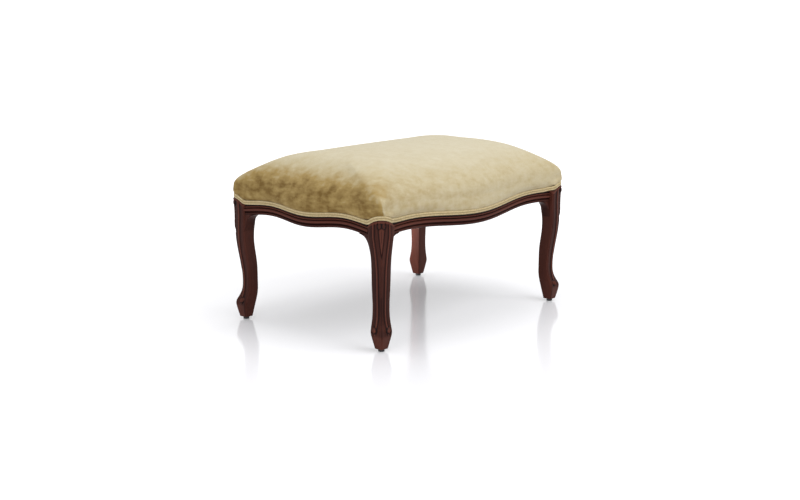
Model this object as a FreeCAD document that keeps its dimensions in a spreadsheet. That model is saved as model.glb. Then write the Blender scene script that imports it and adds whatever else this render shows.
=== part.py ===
"""Upholstered bench with cabriole legs: frame, joinery, webbing, padding, cover, trim and glides.

Millimetres, +Z up. The origin is on the floor under the middle of the seat.
X runs along the long side, the front faces -Y and the left end faces -X.
"""
import FreeCAD, Part
import math
import os

from FreeCAD import Placement, Rotation, Vector
from Sketcher import Constraint

doc = FreeCAD.newDocument("bench")

# Driving sizes: name, value in millimetres (a plain ratio where the note says so), meaning
SIZES = [
    ("frame_length", 684, "over the outer faces of the knees, left to right"),
    ("frame_width", 488, "over the outer faces of the knees, front to back"),
    ("seat_height", 416, "floor to the top of the crown"),
    ("rail_top", 328, "floor to the top edge of the rails"),
    ("crest_height", 300, "floor to the top of a knee"),
    ("crest_radius", 36, "arch of a knee's top edge"),
    ("arch_share", 0.92, "ratio: half the width of that arch's cut to its radius"),
    ("knee_size", 43, "side of the square knee block"),
    ("knee_corner", 14, "rounding of the knee's outer corner"),
    ("leg_corner", 6, "rounding of the leg's outer corner below the knee"),
    ("foot_corner", 3, "rounding of the foot's outer corner"),
    ("side_round", 4, "rounding of a leg's side corners"),
    ("arris", 1.5, "chamfer of a leg's inner corner"),
    ("listel_half", 2.2, "half the width of the raised listel on each outer face"),
    ("listel_proud", 1.4, "how far the listel stands out"),
    ("hollow_depth", 0.9, "hollow between the listel and the outer corner"),
    ("scroll_diameter", 11, "scroll on each outer face of the foot"),
    ("scroll_height", 47, "floor to the middle of the scroll"),
    ("scroll_place", 20, "outer corner of the toe to the middle of the scroll"),
    ("scroll_proud", 1.6, "how far the scroll stands out of the toe"),
    ("post_setback", 20, "knee face to the post behind the upholstery"),
    ("post_corner", 8, "rounding of the post's outer corner"),
    ("foot_setback", 9.8, "knee face to the sole of the foot"),
    ("foot_size", 23, "side of the sole"),
    ("foot_listel", 11.5, "outer corner to the listel at the sole"),
    ("toe_height", 42, "floor to the toe's edge"),
    ("toe_setback", 2.4, "knee face to the toe"),
    ("toe_size", 35.5, "side of the leg at the toe"),
    ("toe_listel", 21, "outer corner to the listel at the toe"),
    ("instep_height", 66, "floor to the instep"),
    ("instep_setback", 11.5, "knee face to the instep"),
    ("instep_size", 29.4, "side of the leg at the instep"),
    ("instep_listel", 13.5, "outer corner to the listel at the instep"),
    ("ankle_height", 95, "floor to the ankle"),
    ("ankle_setback", 15, "knee face to the ankle"),
    ("ankle_size", 26.7, "side of the leg at the ankle"),
    ("ankle_listel", 11, "outer corner to the listel at the ankle"),
    ("calf_height", 140, "floor to the calf"),
    ("calf_setback", 12.2, "knee face to the calf"),
    ("calf_size", 28.6, "side of the leg at the calf"),
    ("calf_listel", 11.5, "outer corner to the listel at the calf"),
    ("shank_height", 185, "floor to the shank"),
    ("shank_setback", 7, "knee face to the shank"),
    ("shank_size", 30, "side of the leg at the shank"),
    ("shank_listel", 13, "outer corner to the listel at the shank"),
    ("garter_height", 216, "floor to the garter below the knee"),
    ("garter_setback", 4.5, "knee face to the garter"),
    ("garter_size", 32.6, "side of the leg at the garter"),
    ("garter_listel", 16.5, "outer corner to the listel at the garter"),
    ("knee_height", 240, "floor to the underside of the knee block"),
    ("knee_setback", 2.7, "knee face to the leg under the knee block"),
    ("knee_listel", 21, "outer corner to the listel under the knee block"),
    ("collar_height", 264, "floor to the collar of the knee block"),
    ("collar_setback", 1, "knee face to the collar"),
    ("full_height", 288, "floor to the level where the knee is full"),
    ("crest_listel", 25.5, "outer corner to the listel on the knee"),
    ("long_recess", 15, "knee face to the long rail's face at its ears"),
    ("long_bow", 20, "how far a long rail swells in plan"),
    ("long_edge", 288.5, "floor to a long rail's upper show edge at its ears"),
    ("long_dip", 12.4, "how far that edge dips at mid rail"),
    ("long_turn", 0.76, "ratio: place of the ears along half a long rail"),
    ("short_recess", 8, "knee face to the short rail's face at its ears"),
    ("short_bow", 8.2, "how far a short rail swells in plan"),
    ("short_edge", 291.8, "floor to a short rail's upper show edge at its ears"),
    ("short_dip", 9.4, "how far that edge dips at mid rail"),
    ("short_turn", 0.6, "ratio: place of the ears along half a short rail"),
    ("rebate", 11, "depth of the ledge that the upholstery ends on"),
    ("fillet_drop", 4, "height of the plain fillet on top of the moulding"),
    ("fillet_back", 2.5, "how far that fillet lies behind the rail's face line"),
    ("bead_height", 12, "height of the main bead"),
    ("bead_swell", 4, "how far the main bead stands out of the fillet"),
    ("quirk_height", 3, "height of the groove under the main bead"),
    ("quirk_depth", 2, "depth of that groove"),
    ("lip_height", 4, "height of the small bead on the lower edge"),
    ("lip_swell", 1.6, "how far the small bead swells"),
    ("dowel_diameter", 8, "rail dowels"),
    ("dowel_length", 42, "rail dowels"),
    ("dowel_clearance", 0.1, "room around and at the end of a dowel"),
    ("dowel_place", 11, "rail's inner face to the middle of a dowel"),
    ("long_dowel_low", 277, "floor to a long rail's lower dowels"),
    ("long_dowel_high", 305, "floor to a long rail's upper dowels"),
    ("short_dowel_low", 291, "floor to a short rail's lower dowels"),
    ("short_dowel_high", 319, "floor to a short rail's upper dowels"),
    ("bracket_reach", 17, "knee bracket along the rail"),
    ("bracket_drop", 27, "knee bracket down the leg"),
    ("bracket_width", 18, "knee bracket across the rail"),
    ("bracket_hollow", 5, "hollow of the knee bracket's curve"),
    ("block_reach", 76, "corner block along each rail"),
    ("block_tip", 9, "blunt end of a corner block"),
    ("block_base", 282, "floor to the underside of the corner blocks"),
    ("block_height", 38, "thickness of the corner blocks"),
    ("screw_place", 46, "inner corner of the frame to a block screw"),
    ("screw_grip", 22, "corner block left under a screw head"),
    ("screw_bite", 16, "screw in the rail"),
    ("screw_shank", 4.4, "smooth shank of a screw"),
    ("screw_core", 3.2, "threaded end of a screw"),
    ("screw_head", 9, "diameter of a screw head"),
    ("screw_head_height", 3, "thickness of a screw head"),
    ("screw_room", 0.2, "room around a screw in the block"),
    ("glide_height", 6.5, "floor to the sole of the foot"),
    ("glide_diameter", 14.5, "glide"),
    ("glide_round", 1.5, "rounded lower edge of a glide"),
    ("glide_nail", 3, "diameter of a glide's nail"),
    ("glide_nail_length", 18, "nail in the foot"),
    ("web_width", 60, "webbing"),
    ("web_thick", 2, "webbing"),
    ("web_ramp", 14, "length of the slope where a band rises over another"),
    ("web_seat", 10, "webbing on the rails"),
    ("long_web_pitch", 112, "middle to middle of the lengthwise bands"),
    ("cross_web_pitch", 108, "middle to middle of the crosswise bands"),
    ("hessian_thick", 0.8, "hessian over the webbing"),
    ("hessian_seat", 8, "hessian past the rails' inner faces"),
    ("knee_ease", 8, "half the length over which the upholstery eases from rail to knee"),
    ("pad_clearance", 0.3, "room between the padding and the frame"),
    ("foam_setback", 11, "cover's widest line to the foam's side"),
    ("wadding_thick", 8, "wadding over the foam"),
    ("cover_thick", 1.5, "velvet with its backing"),
    ("seat_start", 272, "floor to the level that the upholstery is cut from"),
    ("tuck_height", 312, "floor to the line where the cover leaves the welt"),
    ("tuck_depth", 6.9, "cover behind the rail's face line at the welt"),
    ("swell_height", 328, "floor to the widest line of the cushion's sides"),
    ("side_swell", 1.5, "how far the cushion's sides stand out of the rail's face line"),
    ("long_crown", 214, "long sides' widest line to the flat middle of the crown"),
    ("short_crown", 188, "short sides' widest line to the flat middle of the crown"),
    ("corner_radius", 16, "cushion's corners at the welt, in plan"),
    ("welt_cord", 5.2, "diameter of one cord of the double welt"),
    ("welt_inset", 1.6, "rail's face line to the middle of the welt"),
    ("welt_lift", 0.3, "show edge to the underside of the welt"),
    ("dust_ledge", 9, "ledge for the dust cover on the rails' inner edges"),
    ("dust_height", 270, "floor to that ledge"),
    ("dust_thick", 1, "dust cover"),
    ("dust_margin", 1, "dust cover's edge to the end of its ledge"),
]

sheet = doc.addObject("Spreadsheet::Sheet", "Sizes")
for row, (alias, value, note) in enumerate(SIZES, start=1):
    sheet.set(f"A{row}", note)
    sheet.set(f"B{row}", str(value))
    sheet.setAlias(f"B{row}", alias)
doc.recompute()


def amount(text):
    """Value of an expression on the sheet."""
    result = sheet.evalExpression(text)
    return float(getattr(result, "Value", result))


# Expressions that several pieces share, in words
HALF_LENGTH = "(Sizes.frame_length / 2)"
HALF_WIDTH = "(Sizes.frame_width / 2)"
INNER_X = f"({HALF_LENGTH} - Sizes.knee_size)"
INNER_Y = f"({HALF_WIDTH} - Sizes.knee_size)"
SHOW_HEIGHT = "(Sizes.fillet_drop + Sizes.bead_height + Sizes.quirk_height + Sizes.lip_height)"
DOWEL_IN = "(Sizes.knee_size - Sizes.dowel_place)"
DOWEL_HOLE = "(Sizes.dowel_diameter / 2 + Sizes.dowel_clearance)"
DOWEL_DEEP = "(Sizes.dowel_length / 2 + Sizes.dowel_clearance)"
FOOT_MIDDLE = "(Sizes.foot_setback + Sizes.foot_size / 2)"
SCREW_LEVEL = "(Sizes.block_base + Sizes.block_height / 2)"
HESSIAN_LEVEL = "(Sizes.rail_top + 2 * Sizes.web_thick)"
FOAM_BASE = f"({HESSIAN_LEVEL} + Sizes.hessian_thick)"


def swell(share, side):
    """Serpentine wave of a rail at a share of its half length: 1 at mid rail, 0 at the ears."""
    return f"((1 + cos(180 * {share} / Sizes.{side}_turn)) / 2)"


def rail_face(share, side):
    """Distance of a rail's face line from the middle of the bench."""
    half = HALF_WIDTH if side == "long" else HALF_LENGTH
    return f"({half} - Sizes.{side}_recess + Sizes.{side}_bow * {swell(share, side)})"


def rail_edge(share, side):
    """Height of a rail's upper show edge, where the welt lies."""
    return f"(Sizes.{side}_edge - Sizes.{side}_dip * {swell(share, side)})"


# Sketch and feature helpers
def new_body(label):
    body = doc.addObject("PartDesign::Body", label)
    body.Label = label
    return body


def corner_body(label):
    """Body whose origin is the outer corner of the front left knee, on the floor."""
    body = new_body(label)
    body.setExpression("Placement.Base.x", f"-{HALF_LENGTH}")
    body.setExpression("Placement.Base.y", f"-{HALF_WIDTH}")
    return body


def new_sketch(body, name, role, offset="0", turn=0):
    """Sketch on one of the body's origin planes, moved along its normal and turned about its Y."""
    sketch = body.newObject("Sketcher::SketchObject", name)
    plane = next(item for item in body.Origin.OriginFeatures if item.Role == role)
    sketch.AttachmentSupport = [(plane, "")]
    sketch.MapMode = "FlatFace"
    sketch.AttachmentOffset = Placement(Vector(0, 0, amount(offset)), Rotation(Vector(0, 1, 0), turn))
    sketch.setExpression("AttachmentOffset.Base.z", offset)
    return sketch


def bind(sketch, constraint, text):
    index = sketch.addConstraint(constraint)
    sketch.setExpression(f"Constraints[{index}]", text)


def arc_through(start, end, bulge):
    """Arc from start to end whose middle stands bulge to the right of the way there."""
    chord = end - start
    length = chord.Length
    radius = length * length / (8 * abs(bulge)) + abs(bulge) / 2
    right = Vector(chord.y, -chord.x, 0) / length
    side = 1 if bulge > 0 else -1
    centre = (start + end) * 0.5 - right * side * (radius - abs(bulge))
    first = math.atan2(start.y - centre.y, start.x - centre.x)
    last = math.atan2(end.y - centre.y, end.x - centre.x)
    circle = Part.Circle(centre, Vector(0, 0, 1), radius)
    if bulge > 0:
        return Part.ArcOfCircle(circle, first, last), 1, 2
    return Part.ArcOfCircle(circle, last, first), 2, 1


def draw(sketch, corners, bulges=None):
    """Closed outline through corners given as expressions; bulges turns edge i into an arc."""
    bulges = bulges or {}
    points = [Vector(amount(x), amount(y), 0) for x, y in corners]
    ends = []
    for index, start in enumerate(points):
        end = points[(index + 1) % len(points)]
        if index in bulges:
            edge, first, last = arc_through(start, end, amount(bulges[index]))
        else:
            edge, first, last = Part.LineSegment(start, end), 1, 2
        ends.append((sketch.addGeometry(edge), first, last))
    for index, (edge, first, last) in enumerate(ends):
        following, following_first, _ = ends[(index + 1) % len(ends)]
        sketch.addConstraint(Constraint("Coincident", edge, last, following, following_first))
        x, y = corners[index]
        bind(sketch, Constraint("DistanceX", edge, first, points[index].x), x)
        bind(sketch, Constraint("DistanceY", edge, first, points[index].y), y)
        if index in bulges:
            next_x, next_y = corners[(index + 1) % len(corners)]
            rise = f"abs({bulges[index]})"
            chord = f"((({next_x}) - ({x}))^2 + (({next_y}) - ({y}))^2)"
            text = f"{chord} / (8 * {rise}) + {rise} / 2"
            bind(sketch, Constraint("Radius", edge, amount(text)), text)


def draw_circles(sketch, centres, radius):
    for x, y in centres:
        circle = Part.Circle(Vector(amount(x), amount(y), 0), Vector(0, 0, 1), amount(radius))
        edge = sketch.addGeometry(circle)
        bind(sketch, Constraint("DistanceX", edge, 3, amount(x)), x)
        bind(sketch, Constraint("DistanceY", edge, 3, amount(y)), y)
        bind(sketch, Constraint("Radius", edge, amount(radius)), radius)


def rectangle(left, bottom, right, top):
    return [(left, bottom), (right, bottom), (right, top), (left, top)]


def loft(body, name, sketches, ruled=False):
    feature = body.newObject("PartDesign::AdditiveLoft", name)
    feature.Profile = sketches[0]
    feature.Sections = sketches[1:]
    feature.Ruled = ruled
    return feature


def pad(body, name, sketch, length, backwards=False):
    feature = body.newObject("PartDesign::Pad", name)
    feature.Profile = sketch
    feature.Reversed = backwards
    feature.setExpression("Length", length)
    return feature


def pocket(body, name, sketch, depth=None, backwards=False, both_ways=False):
    """Pocket against the sketch's normal; through everything where no depth is given."""
    feature = body.newObject("PartDesign::Pocket", name)
    feature.Profile = sketch
    feature.Reversed = backwards
    if both_ways:
        feature.SideType = "Symmetric"
    if depth is None:
        feature.Type = "ThroughAll"
    else:
        feature.setExpression("Length", depth)
    return feature


def mirrored(label, source, normal):
    """Mirror image of a piece in the plane through the middle of the bench."""
    copy = doc.addObject("Part::Mirroring", label)
    copy.Label = label
    copy.Source = source
    copy.Normal = normal
    return copy


ACROSS = Vector(1, 0, 0)
ALONG = Vector(0, 1, 0)


def four_corners(prefix, master):
    """The front left piece and its three mirror images, one for each corner."""
    front_right = mirrored(f"{prefix}_front_right", master, ACROSS)
    back_left = mirrored(f"{prefix}_back_left", master, ALONG)
    back_right = mirrored(f"{prefix}_back_right", front_right, ALONG)
    return [master, front_right, back_left, back_right]


# Cabriole leg
LEG_STATIONS = ["toe", "instep", "ankle", "calf", "shank", "garter"]


def leg_section(body, name, height, setback, side, corner, listel):
    """Square section of a leg: rounded outer corner, a hollow and a listel on each outer face."""
    sketch = new_sketch(body, name, "XY_Plane", height)
    near = f"({setback})"
    far = f"({setback} + {side})"
    round_end = f"({setback} + {corner})"
    listel_start = f"({setback} + {listel} - Sizes.listel_half)"
    listel_end = f"({setback} + {listel} + Sizes.listel_half)"
    side_start = f"({far} - Sizes.side_round)"
    side_end = f"({setback} + Sizes.side_round)"
    arris = f"({far} - Sizes.arris)"
    half = [
        (near, round_end),
        (near, listel_start),
        (near, listel_end),
        (near, side_start),
        (side_end, far),
        (arris, far),
    ]
    corners = half + [(y, x) for x, y in reversed(half)]
    quarter = "(1 - cos(45))"
    hollow = "Sizes.hollow_depth"
    proud = "-Sizes.listel_proud"
    side_rise = f"-Sizes.side_round * {quarter}"
    corner_rise = f"-({corner}) * {quarter}"
    draw(sketch, corners, {
        0: hollow,
        1: proud,
        3: side_rise,
        7: side_rise,
        9: proud,
        10: hollow,
        11: corner_rise,
    })
    return sketch


def station(body, place, corner):
    cell = f"Sizes.{place}"
    return leg_section(
        body, f"{place}_section", f"{cell}_height", f"{cell}_setback", f"{cell}_size",
        corner, f"{cell}_listel",
    )


def make_leg():
    body = corner_body("leg_front_left")
    sole = leg_section(
        body, "sole_section", "Sizes.glide_height", "Sizes.foot_setback", "Sizes.foot_size",
        "Sizes.foot_corner", "Sizes.foot_listel",
    )
    toe_edge = station(body, "toe", "Sizes.foot_corner")
    loft(body, "Foot", [sole, toe_edge], ruled=True)

    sections = []
    for place in LEG_STATIONS:
        corner = "Sizes.foot_corner" if place == "toe" else "Sizes.leg_corner"
        sections.append(station(body, place, corner))
    knee_side = "(Sizes.knee_size - Sizes.knee_setback)"
    knee_round = "((Sizes.leg_corner + Sizes.knee_corner) / 2)"
    sections.append(leg_section(
        body, "knee_section", "Sizes.knee_height", "Sizes.knee_setback", knee_side,
        knee_round, "Sizes.knee_listel",
    ))
    blank_top = "(Sizes.crest_height + Sizes.post_setback)"
    for name, height, setback in (
        ("collar_section", "Sizes.collar_height", "Sizes.collar_setback"),
        ("full_section", "Sizes.full_height", "0"),
        ("crest_section", blank_top, "0"),
    ):
        side = f"(Sizes.knee_size - {setback})"
        sections.append(leg_section(
            body, name, height, setback, side, "Sizes.knee_corner", "Sizes.crest_listel"
        ))
    loft(body, "Shank", sections)

    # Flat seats for the rails and brackets on both inner faces
    trim = new_sketch(body, "seat_trim", "XY_Plane", "Sizes.knee_height")
    inner = "Sizes.knee_size"
    outer = "(2 * Sizes.knee_size)"
    behind = "-Sizes.knee_size"
    draw(trim, [
        (inner, behind), (outer, behind), (outer, outer),
        (behind, outer), (behind, inner), (inner, inner),
    ])
    pocket(body, "Seats", trim, f"({blank_top} - Sizes.knee_height)", backwards=True)

    # Arched top edge of the knee, square to the diagonal
    arch = new_sketch(body, "crest_arch", "XZ_Plane", "0", turn=-45)
    reach = "(Sizes.arch_share * Sizes.crest_radius)"
    spring = f"(Sizes.crest_height - Sizes.crest_radius + sqrt(Sizes.crest_radius^2 - {reach}^2))"
    arch_rise = f"-(Sizes.crest_height - {spring})"
    above = "(Sizes.crest_height + 2 * Sizes.post_setback)"
    draw(
        arch,
        [(f"-{reach}", spring), (reach, spring), (reach, above), (f"-{reach}", above)],
        {0: arch_rise},
    )
    pocket(body, "Crest", arch, both_ways=True)

    # Post that carries the rails, behind the upholstery
    post = new_sketch(body, "post_section", "XY_Plane", "Sizes.collar_height")
    start = "Sizes.post_setback"
    round_end = "(Sizes.post_setback + Sizes.post_corner)"
    draw(
        post,
        [(start, round_end), (start, inner), (inner, inner), (inner, start), (round_end, start)],
        {4: "-Sizes.post_corner * (1 - cos(45))"},
    )
    pad(body, "Post", post, "Sizes.rail_top - Sizes.collar_height")

    # Scrolls on the outer faces of the foot
    scroll_face = "(Sizes.toe_setback - Sizes.scroll_proud)"
    scroll_at = ("(Sizes.toe_setback + Sizes.scroll_place)", "Sizes.scroll_height")
    scroll_deep = "(Sizes.scroll_proud + Sizes.scroll_diameter)"
    for name, role, offset, backwards in (
        ("left_scroll", "YZ_Plane", scroll_face, False),
        ("front_scroll", "XZ_Plane", f"-{scroll_face}", True),
    ):
        sketch = new_sketch(body, f"{name}_circle", role, offset)
        draw_circles(sketch, [scroll_at], "Sizes.scroll_diameter / 2")
        pad(body, name, sketch, scroll_deep, backwards)

    # Dowel holes for both rails and the nail hole of the glide
    for side, role, offset, backwards in (
        ("long", "YZ_Plane", inner, False),
        ("short", "XZ_Plane", f"-{inner}", True),
    ):
        holes = new_sketch(body, f"{side}_dowel_circles", role, offset)
        heights = (f"Sizes.{side}_dowel_low", f"Sizes.{side}_dowel_high")
        draw_circles(holes, [(DOWEL_IN, height) for height in heights], DOWEL_HOLE)
        pocket(body, f"{side}_dowel_holes", holes, DOWEL_DEEP, backwards)
    nail = new_sketch(body, "nail_circle", "XY_Plane", "Sizes.glide_height")
    draw_circles(nail, [(FOOT_MIDDLE, FOOT_MIDDLE)], "Sizes.glide_nail / 2")
    pocket(body, "nail_hole", nail, "Sizes.glide_nail_length", backwards=True)
    return body


# Serpentine rails
RAIL_STEPS = 5
RAIL_SHARES = [step / RAIL_STEPS for step in range(-RAIL_STEPS, RAIL_STEPS + 1)]


def rail_section(body, side, number, share):
    """Moulded section of a rail: ledge, fillet, bead, quirk and lip outside, a straight back."""
    role = "YZ_Plane" if side == "long" else "XZ_Plane"
    reach = INNER_X if side == "long" else INNER_Y
    back = INNER_Y if side == "long" else INNER_X
    sketch = new_sketch(body, f"section_{number}", role, f"{reach} * {share}")
    face = rail_face(share, side)
    edge = rail_edge(share, side)
    ledge = f"-({face} - Sizes.rebate)"
    flat = f"-({face} - Sizes.fillet_back)"
    groove = f"-({face} - Sizes.fillet_back - Sizes.quirk_depth)"
    bead_top = f"({edge} - Sizes.fillet_drop)"
    bead_end = f"({bead_top} - Sizes.bead_height)"
    lip_top = f"({bead_end} - Sizes.quirk_height)"
    lower = f"({edge} - {SHOW_HEIGHT})"
    corners = [
        (ledge, edge),
        (flat, edge),
        (flat, bead_top),
        (flat, bead_end),
        (groove, f"({bead_end} - Sizes.quirk_height / 2)"),
        (flat, lip_top),
        (flat, lower),
        (f"-{back}", lower),
        (f"-{back}", "Sizes.rail_top"),
        (ledge, "Sizes.rail_top"),
    ]
    draw(sketch, corners, {2: "Sizes.bead_swell", 5: "Sizes.lip_swell"})
    return sketch


def make_rail(label, side):
    """Front rail (long) or left rail (short), between the inner faces of two legs."""
    body = new_body(label)
    loft(body, "Moulding", [rail_section(body, side, n, share) for n, share in enumerate(RAIL_SHARES)])
    role = "YZ_Plane" if side == "long" else "XZ_Plane"
    other_role = "XZ_Plane" if side == "long" else "YZ_Plane"
    reach = INNER_X if side == "long" else INNER_Y
    back = INNER_Y if side == "long" else INNER_X

    # Level ledge for the dust cover along the inner lower edge
    ledge = new_sketch(body, "dust_ledge", role)
    under = "(Sizes.dust_height - 2 * Sizes.knee_size)"
    inside = f"-({back} - Sizes.dust_ledge)"
    draw(ledge, rectangle(f"-({back} + Sizes.dust_ledge)", under, inside, "Sizes.dust_height"))
    pocket(body, "Ledge", ledge, both_ways=True)

    # Dowel holes in both ends
    heights = (f"Sizes.{side}_dowel_low", f"Sizes.{side}_dowel_high")
    centres = [(f"-({back} + Sizes.dowel_place)", height) for height in heights]
    for name, offset, backwards in (("far_end", reach, False), ("near_end", f"-{reach}", True)):
        holes = new_sketch(body, f"{name}_circles", role, offset)
        draw_circles(holes, centres, DOWEL_HOLE)
        pocket(body, f"{name}_dowel_holes", holes, DOWEL_DEEP, backwards)

    # Pilot holes for the corner block screws
    along = f"({reach} - Sizes.screw_place)"
    offset = back if side == "long" else f"-{back}"
    pilots = new_sketch(body, "pilot_circles", other_role, offset)
    draw_circles(pilots, [(along, SCREW_LEVEL), (f"-{along}", SCREW_LEVEL)], "Sizes.screw_core / 2")
    pocket(body, "Pilots", pilots, "Sizes.screw_bite", backwards=(side == "long"))
    return body


# Brackets under the rails, corner blocks, fasteners and glides
def make_bracket(label, side):
    """Knee bracket: fills the corner between a leg's inner face and a rail's lower edge."""
    body = corner_body(label)
    role = "XZ_Plane" if side == "long" else "YZ_Plane"
    inner = "Sizes.knee_size"
    deep_end = f"({inner} - Sizes.dust_ledge)"
    offset = f"-{deep_end}" if side == "long" else f"({deep_end} - Sizes.bracket_width)"
    sketch = new_sketch(body, "bracket_profile", role, offset)
    top = f"({rail_edge(1, side)} - {SHOW_HEIGHT})"
    corners = [
        (inner, top),
        (inner, f"({top} - Sizes.bracket_drop)"),
        (f"({inner} + Sizes.bracket_reach)", top),
    ]
    draw(sketch, corners, {1: "-Sizes.bracket_hollow"})
    pad(body, "Bracket", sketch, "Sizes.bracket_width")
    return body


def make_block():
    body = corner_body("corner_block_front_left")
    inner = "Sizes.knee_size"
    end = f"({inner} + Sizes.block_reach)"
    tip = f"({inner} + Sizes.block_tip)"
    outline = new_sketch(body, "block_outline", "XY_Plane", "Sizes.block_base")
    draw(outline, [(inner, inner), (end, inner), (end, tip), (tip, end), (inner, end)])
    pad(body, "Block", outline, "Sizes.block_height")
    along = f"({inner} + Sizes.screw_place)"
    seat = f"({inner} + Sizes.screw_grip)"
    holes = (
        ("shank", inner, "Sizes.screw_shank / 2 + Sizes.screw_room"),
        ("head", seat, "Sizes.screw_head / 2 + Sizes.screw_room"),
    )
    for name, depth, radius in holes:
        for role, offset, backwards in (("XZ_Plane", f"-{depth}", False), ("YZ_Plane", depth, True)):
            sketch = new_sketch(body, f"{name}_{role}", role, offset)
            draw_circles(sketch, [(along, SCREW_LEVEL)], radius)
            pocket(body, f"{name}_hole_{role}", sketch, None, backwards)
    return body


def turned(label, profile, bulges=None):
    """Body turned about its own Z axis from a half profile of (radius, height) expressions."""
    body = new_body(label)
    sketch = new_sketch(body, "half_profile", "XZ_Plane")
    draw(sketch, profile, bulges)
    feature = body.newObject("PartDesign::Revolution", "Turned")
    feature.Profile = sketch
    feature.ReferenceAxis = (sketch, ["V_Axis"])
    feature.Angle = 360
    return body


def place(body, rotation, x, y, z):
    body.Placement = Placement(Vector(amount(x), amount(y), amount(z)), rotation)
    for axis, text in (("x", x), ("y", y), ("z", z)):
        body.setExpression(f"Placement.Base.{axis}", text)


POINT_LEFT = Rotation(Vector(0, 1, 0), -90)
POINT_FRONT = Rotation(Vector(1, 0, 0), 90)


def make_dowels():
    """Four dowels of the front left corner: two for each rail."""
    half = "(Sizes.dowel_length / 2)"
    radius = "(Sizes.dowel_diameter / 2)"
    chamfer = "(Sizes.dowel_diameter / 8)"
    profile = [
        ("0", f"-{half}"),
        (f"{radius} - {chamfer}", f"-{half}"),
        (radius, f"{chamfer} - {half}"),
        (radius, f"{half} - {chamfer}"),
        (f"{radius} - {chamfer}", half),
        ("0", half),
    ]
    dowels = []
    for level in ("low", "high"):
        long_dowel = turned(f"long_dowel_{level}", profile)
        y = f"-({INNER_Y} + Sizes.dowel_place)"
        place(long_dowel, POINT_LEFT, f"-{INNER_X}", y, f"Sizes.long_dowel_{level}")
        short_dowel = turned(f"short_dowel_{level}", profile)
        x = f"-({INNER_X} + Sizes.dowel_place)"
        place(short_dowel, POINT_FRONT, x, f"-{INNER_Y}", f"Sizes.short_dowel_{level}")
        dowels += [long_dowel, short_dowel]
    return dowels


def make_screws():
    """Two screws of the front left corner block, one into each rail."""
    head = "(Sizes.screw_head / 2)"
    shank = "(Sizes.screw_shank / 2)"
    core = "(Sizes.screw_core / 2)"
    end = "(Sizes.screw_grip + Sizes.screw_bite)"
    profile = [
        ("0", "-Sizes.screw_head_height"),
        (head, "-Sizes.screw_head_height"),
        (head, "0"),
        (shank, "0"),
        (shank, "Sizes.screw_grip"),
        (core, "Sizes.screw_grip"),
        (core, f"{end} - Sizes.screw_core"),
        ("0", end),
    ]
    into_front = turned("screw_into_front", profile)
    x = f"-({INNER_X} - Sizes.screw_place)"
    y = f"-({INNER_Y} - Sizes.screw_grip)"
    place(into_front, POINT_FRONT, x, y, SCREW_LEVEL)
    into_left = turned("screw_into_left", profile)
    x = f"-({INNER_X} - Sizes.screw_grip)"
    y = f"-({INNER_Y} - Sizes.screw_place)"
    place(into_left, POINT_LEFT, x, y, SCREW_LEVEL)
    return [into_front, into_left]


def grouped(label, pieces):
    """Fasteners of one corner, repeated by mirroring at all four, as one group of solids."""
    corner = doc.addObject("Part::Compound", f"{label}_corner")
    corner.Links = pieces
    group = doc.addObject("Part::Compound", label)
    group.Label = label
    group.Links = four_corners(f"{label}_corner", corner)
    return group


def make_glide():
    """Nail-on glide under the foot: a round cap with a rounded lower edge and its nail."""
    radius = "(Sizes.glide_diameter / 2)"
    nail = "(Sizes.glide_nail / 2)"
    end = "(Sizes.glide_height + Sizes.glide_nail_length)"
    profile = [
        ("0", "0"),
        (f"{radius} - Sizes.glide_round", "0"),
        (radius, "Sizes.glide_round"),
        (radius, "Sizes.glide_height"),
        (nail, "Sizes.glide_height"),
        (nail, end),
        ("0", end),
    ]
    glide = turned("glide_front_left", profile, {1: "Sizes.glide_round * (1 - cos(45))"})
    upright = Rotation()
    place(glide, upright, f"{FOOT_MIDDLE} - {HALF_LENGTH}", f"{FOOT_MIDDLE} - {HALF_WIDTH}", "0")
    return glide


# Webbing, hessian and dust cover
LONG_BANDS = (-1, 0, 1)
CROSS_BANDS = (-2, -1, 0, 1, 2)


def make_band(label, role, offset, reach, crossings):
    """Webbing band on the rails that rises over the bands at the given crossings."""
    body = new_body(label)
    sketch = new_sketch(body, "band_profile", role, offset)
    low = "Sizes.rail_top"
    high = "(Sizes.rail_top + Sizes.web_thick)"
    half = "Sizes.web_width / 2"
    under = [(f"-{reach}", low)]
    for middle in crossings:
        under.append((f"({middle} - {half} - Sizes.web_ramp)", low))
        under.append((f"({middle} - {half})", high))
        under.append((f"({middle} + {half})", high))
        under.append((f"({middle} + {half} + Sizes.web_ramp)", low))
    under.append((reach, low))
    over = [(x, f"({z} + Sizes.web_thick)") for x, z in reversed(under)]
    draw(sketch, under + over)
    band = pad(body, "Band", sketch, "Sizes.web_width")
    band.SideType = "Symmetric"
    return body


def make_webbing():
    bands = []
    for number, row in enumerate(LONG_BANDS, start=1):
        over = [f"({column} * Sizes.cross_web_pitch)" for column in CROSS_BANDS if (row + column) % 2]
        reach = f"({INNER_X} + Sizes.web_seat)"
        offset = f"-({row} * Sizes.long_web_pitch)"
        bands.append(make_band(f"webbing_long_{number}", "XZ_Plane", offset, reach, over))
    for number, column in enumerate(CROSS_BANDS, start=1):
        over = [f"({row} * Sizes.long_web_pitch)" for row in LONG_BANDS if (row + column) % 2 == 0]
        reach = f"({INNER_Y} + Sizes.web_seat)"
        offset = f"{column} * Sizes.cross_web_pitch"
        bands.append(make_band(f"webbing_cross_{number}", "YZ_Plane", offset, reach, over))
    return bands


def make_hessian():
    body = new_body("hessian_sheet")
    sketch = new_sketch(body, "hessian_outline", "XY_Plane", HESSIAN_LEVEL)
    x = f"({INNER_X} + Sizes.hessian_seat)"
    y = f"({INNER_Y} + Sizes.hessian_seat)"
    draw(sketch, rectangle(f"-{x}", f"-{y}", x, y))
    pad(body, "Hessian", sketch, "Sizes.hessian_thick")
    return body


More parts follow.
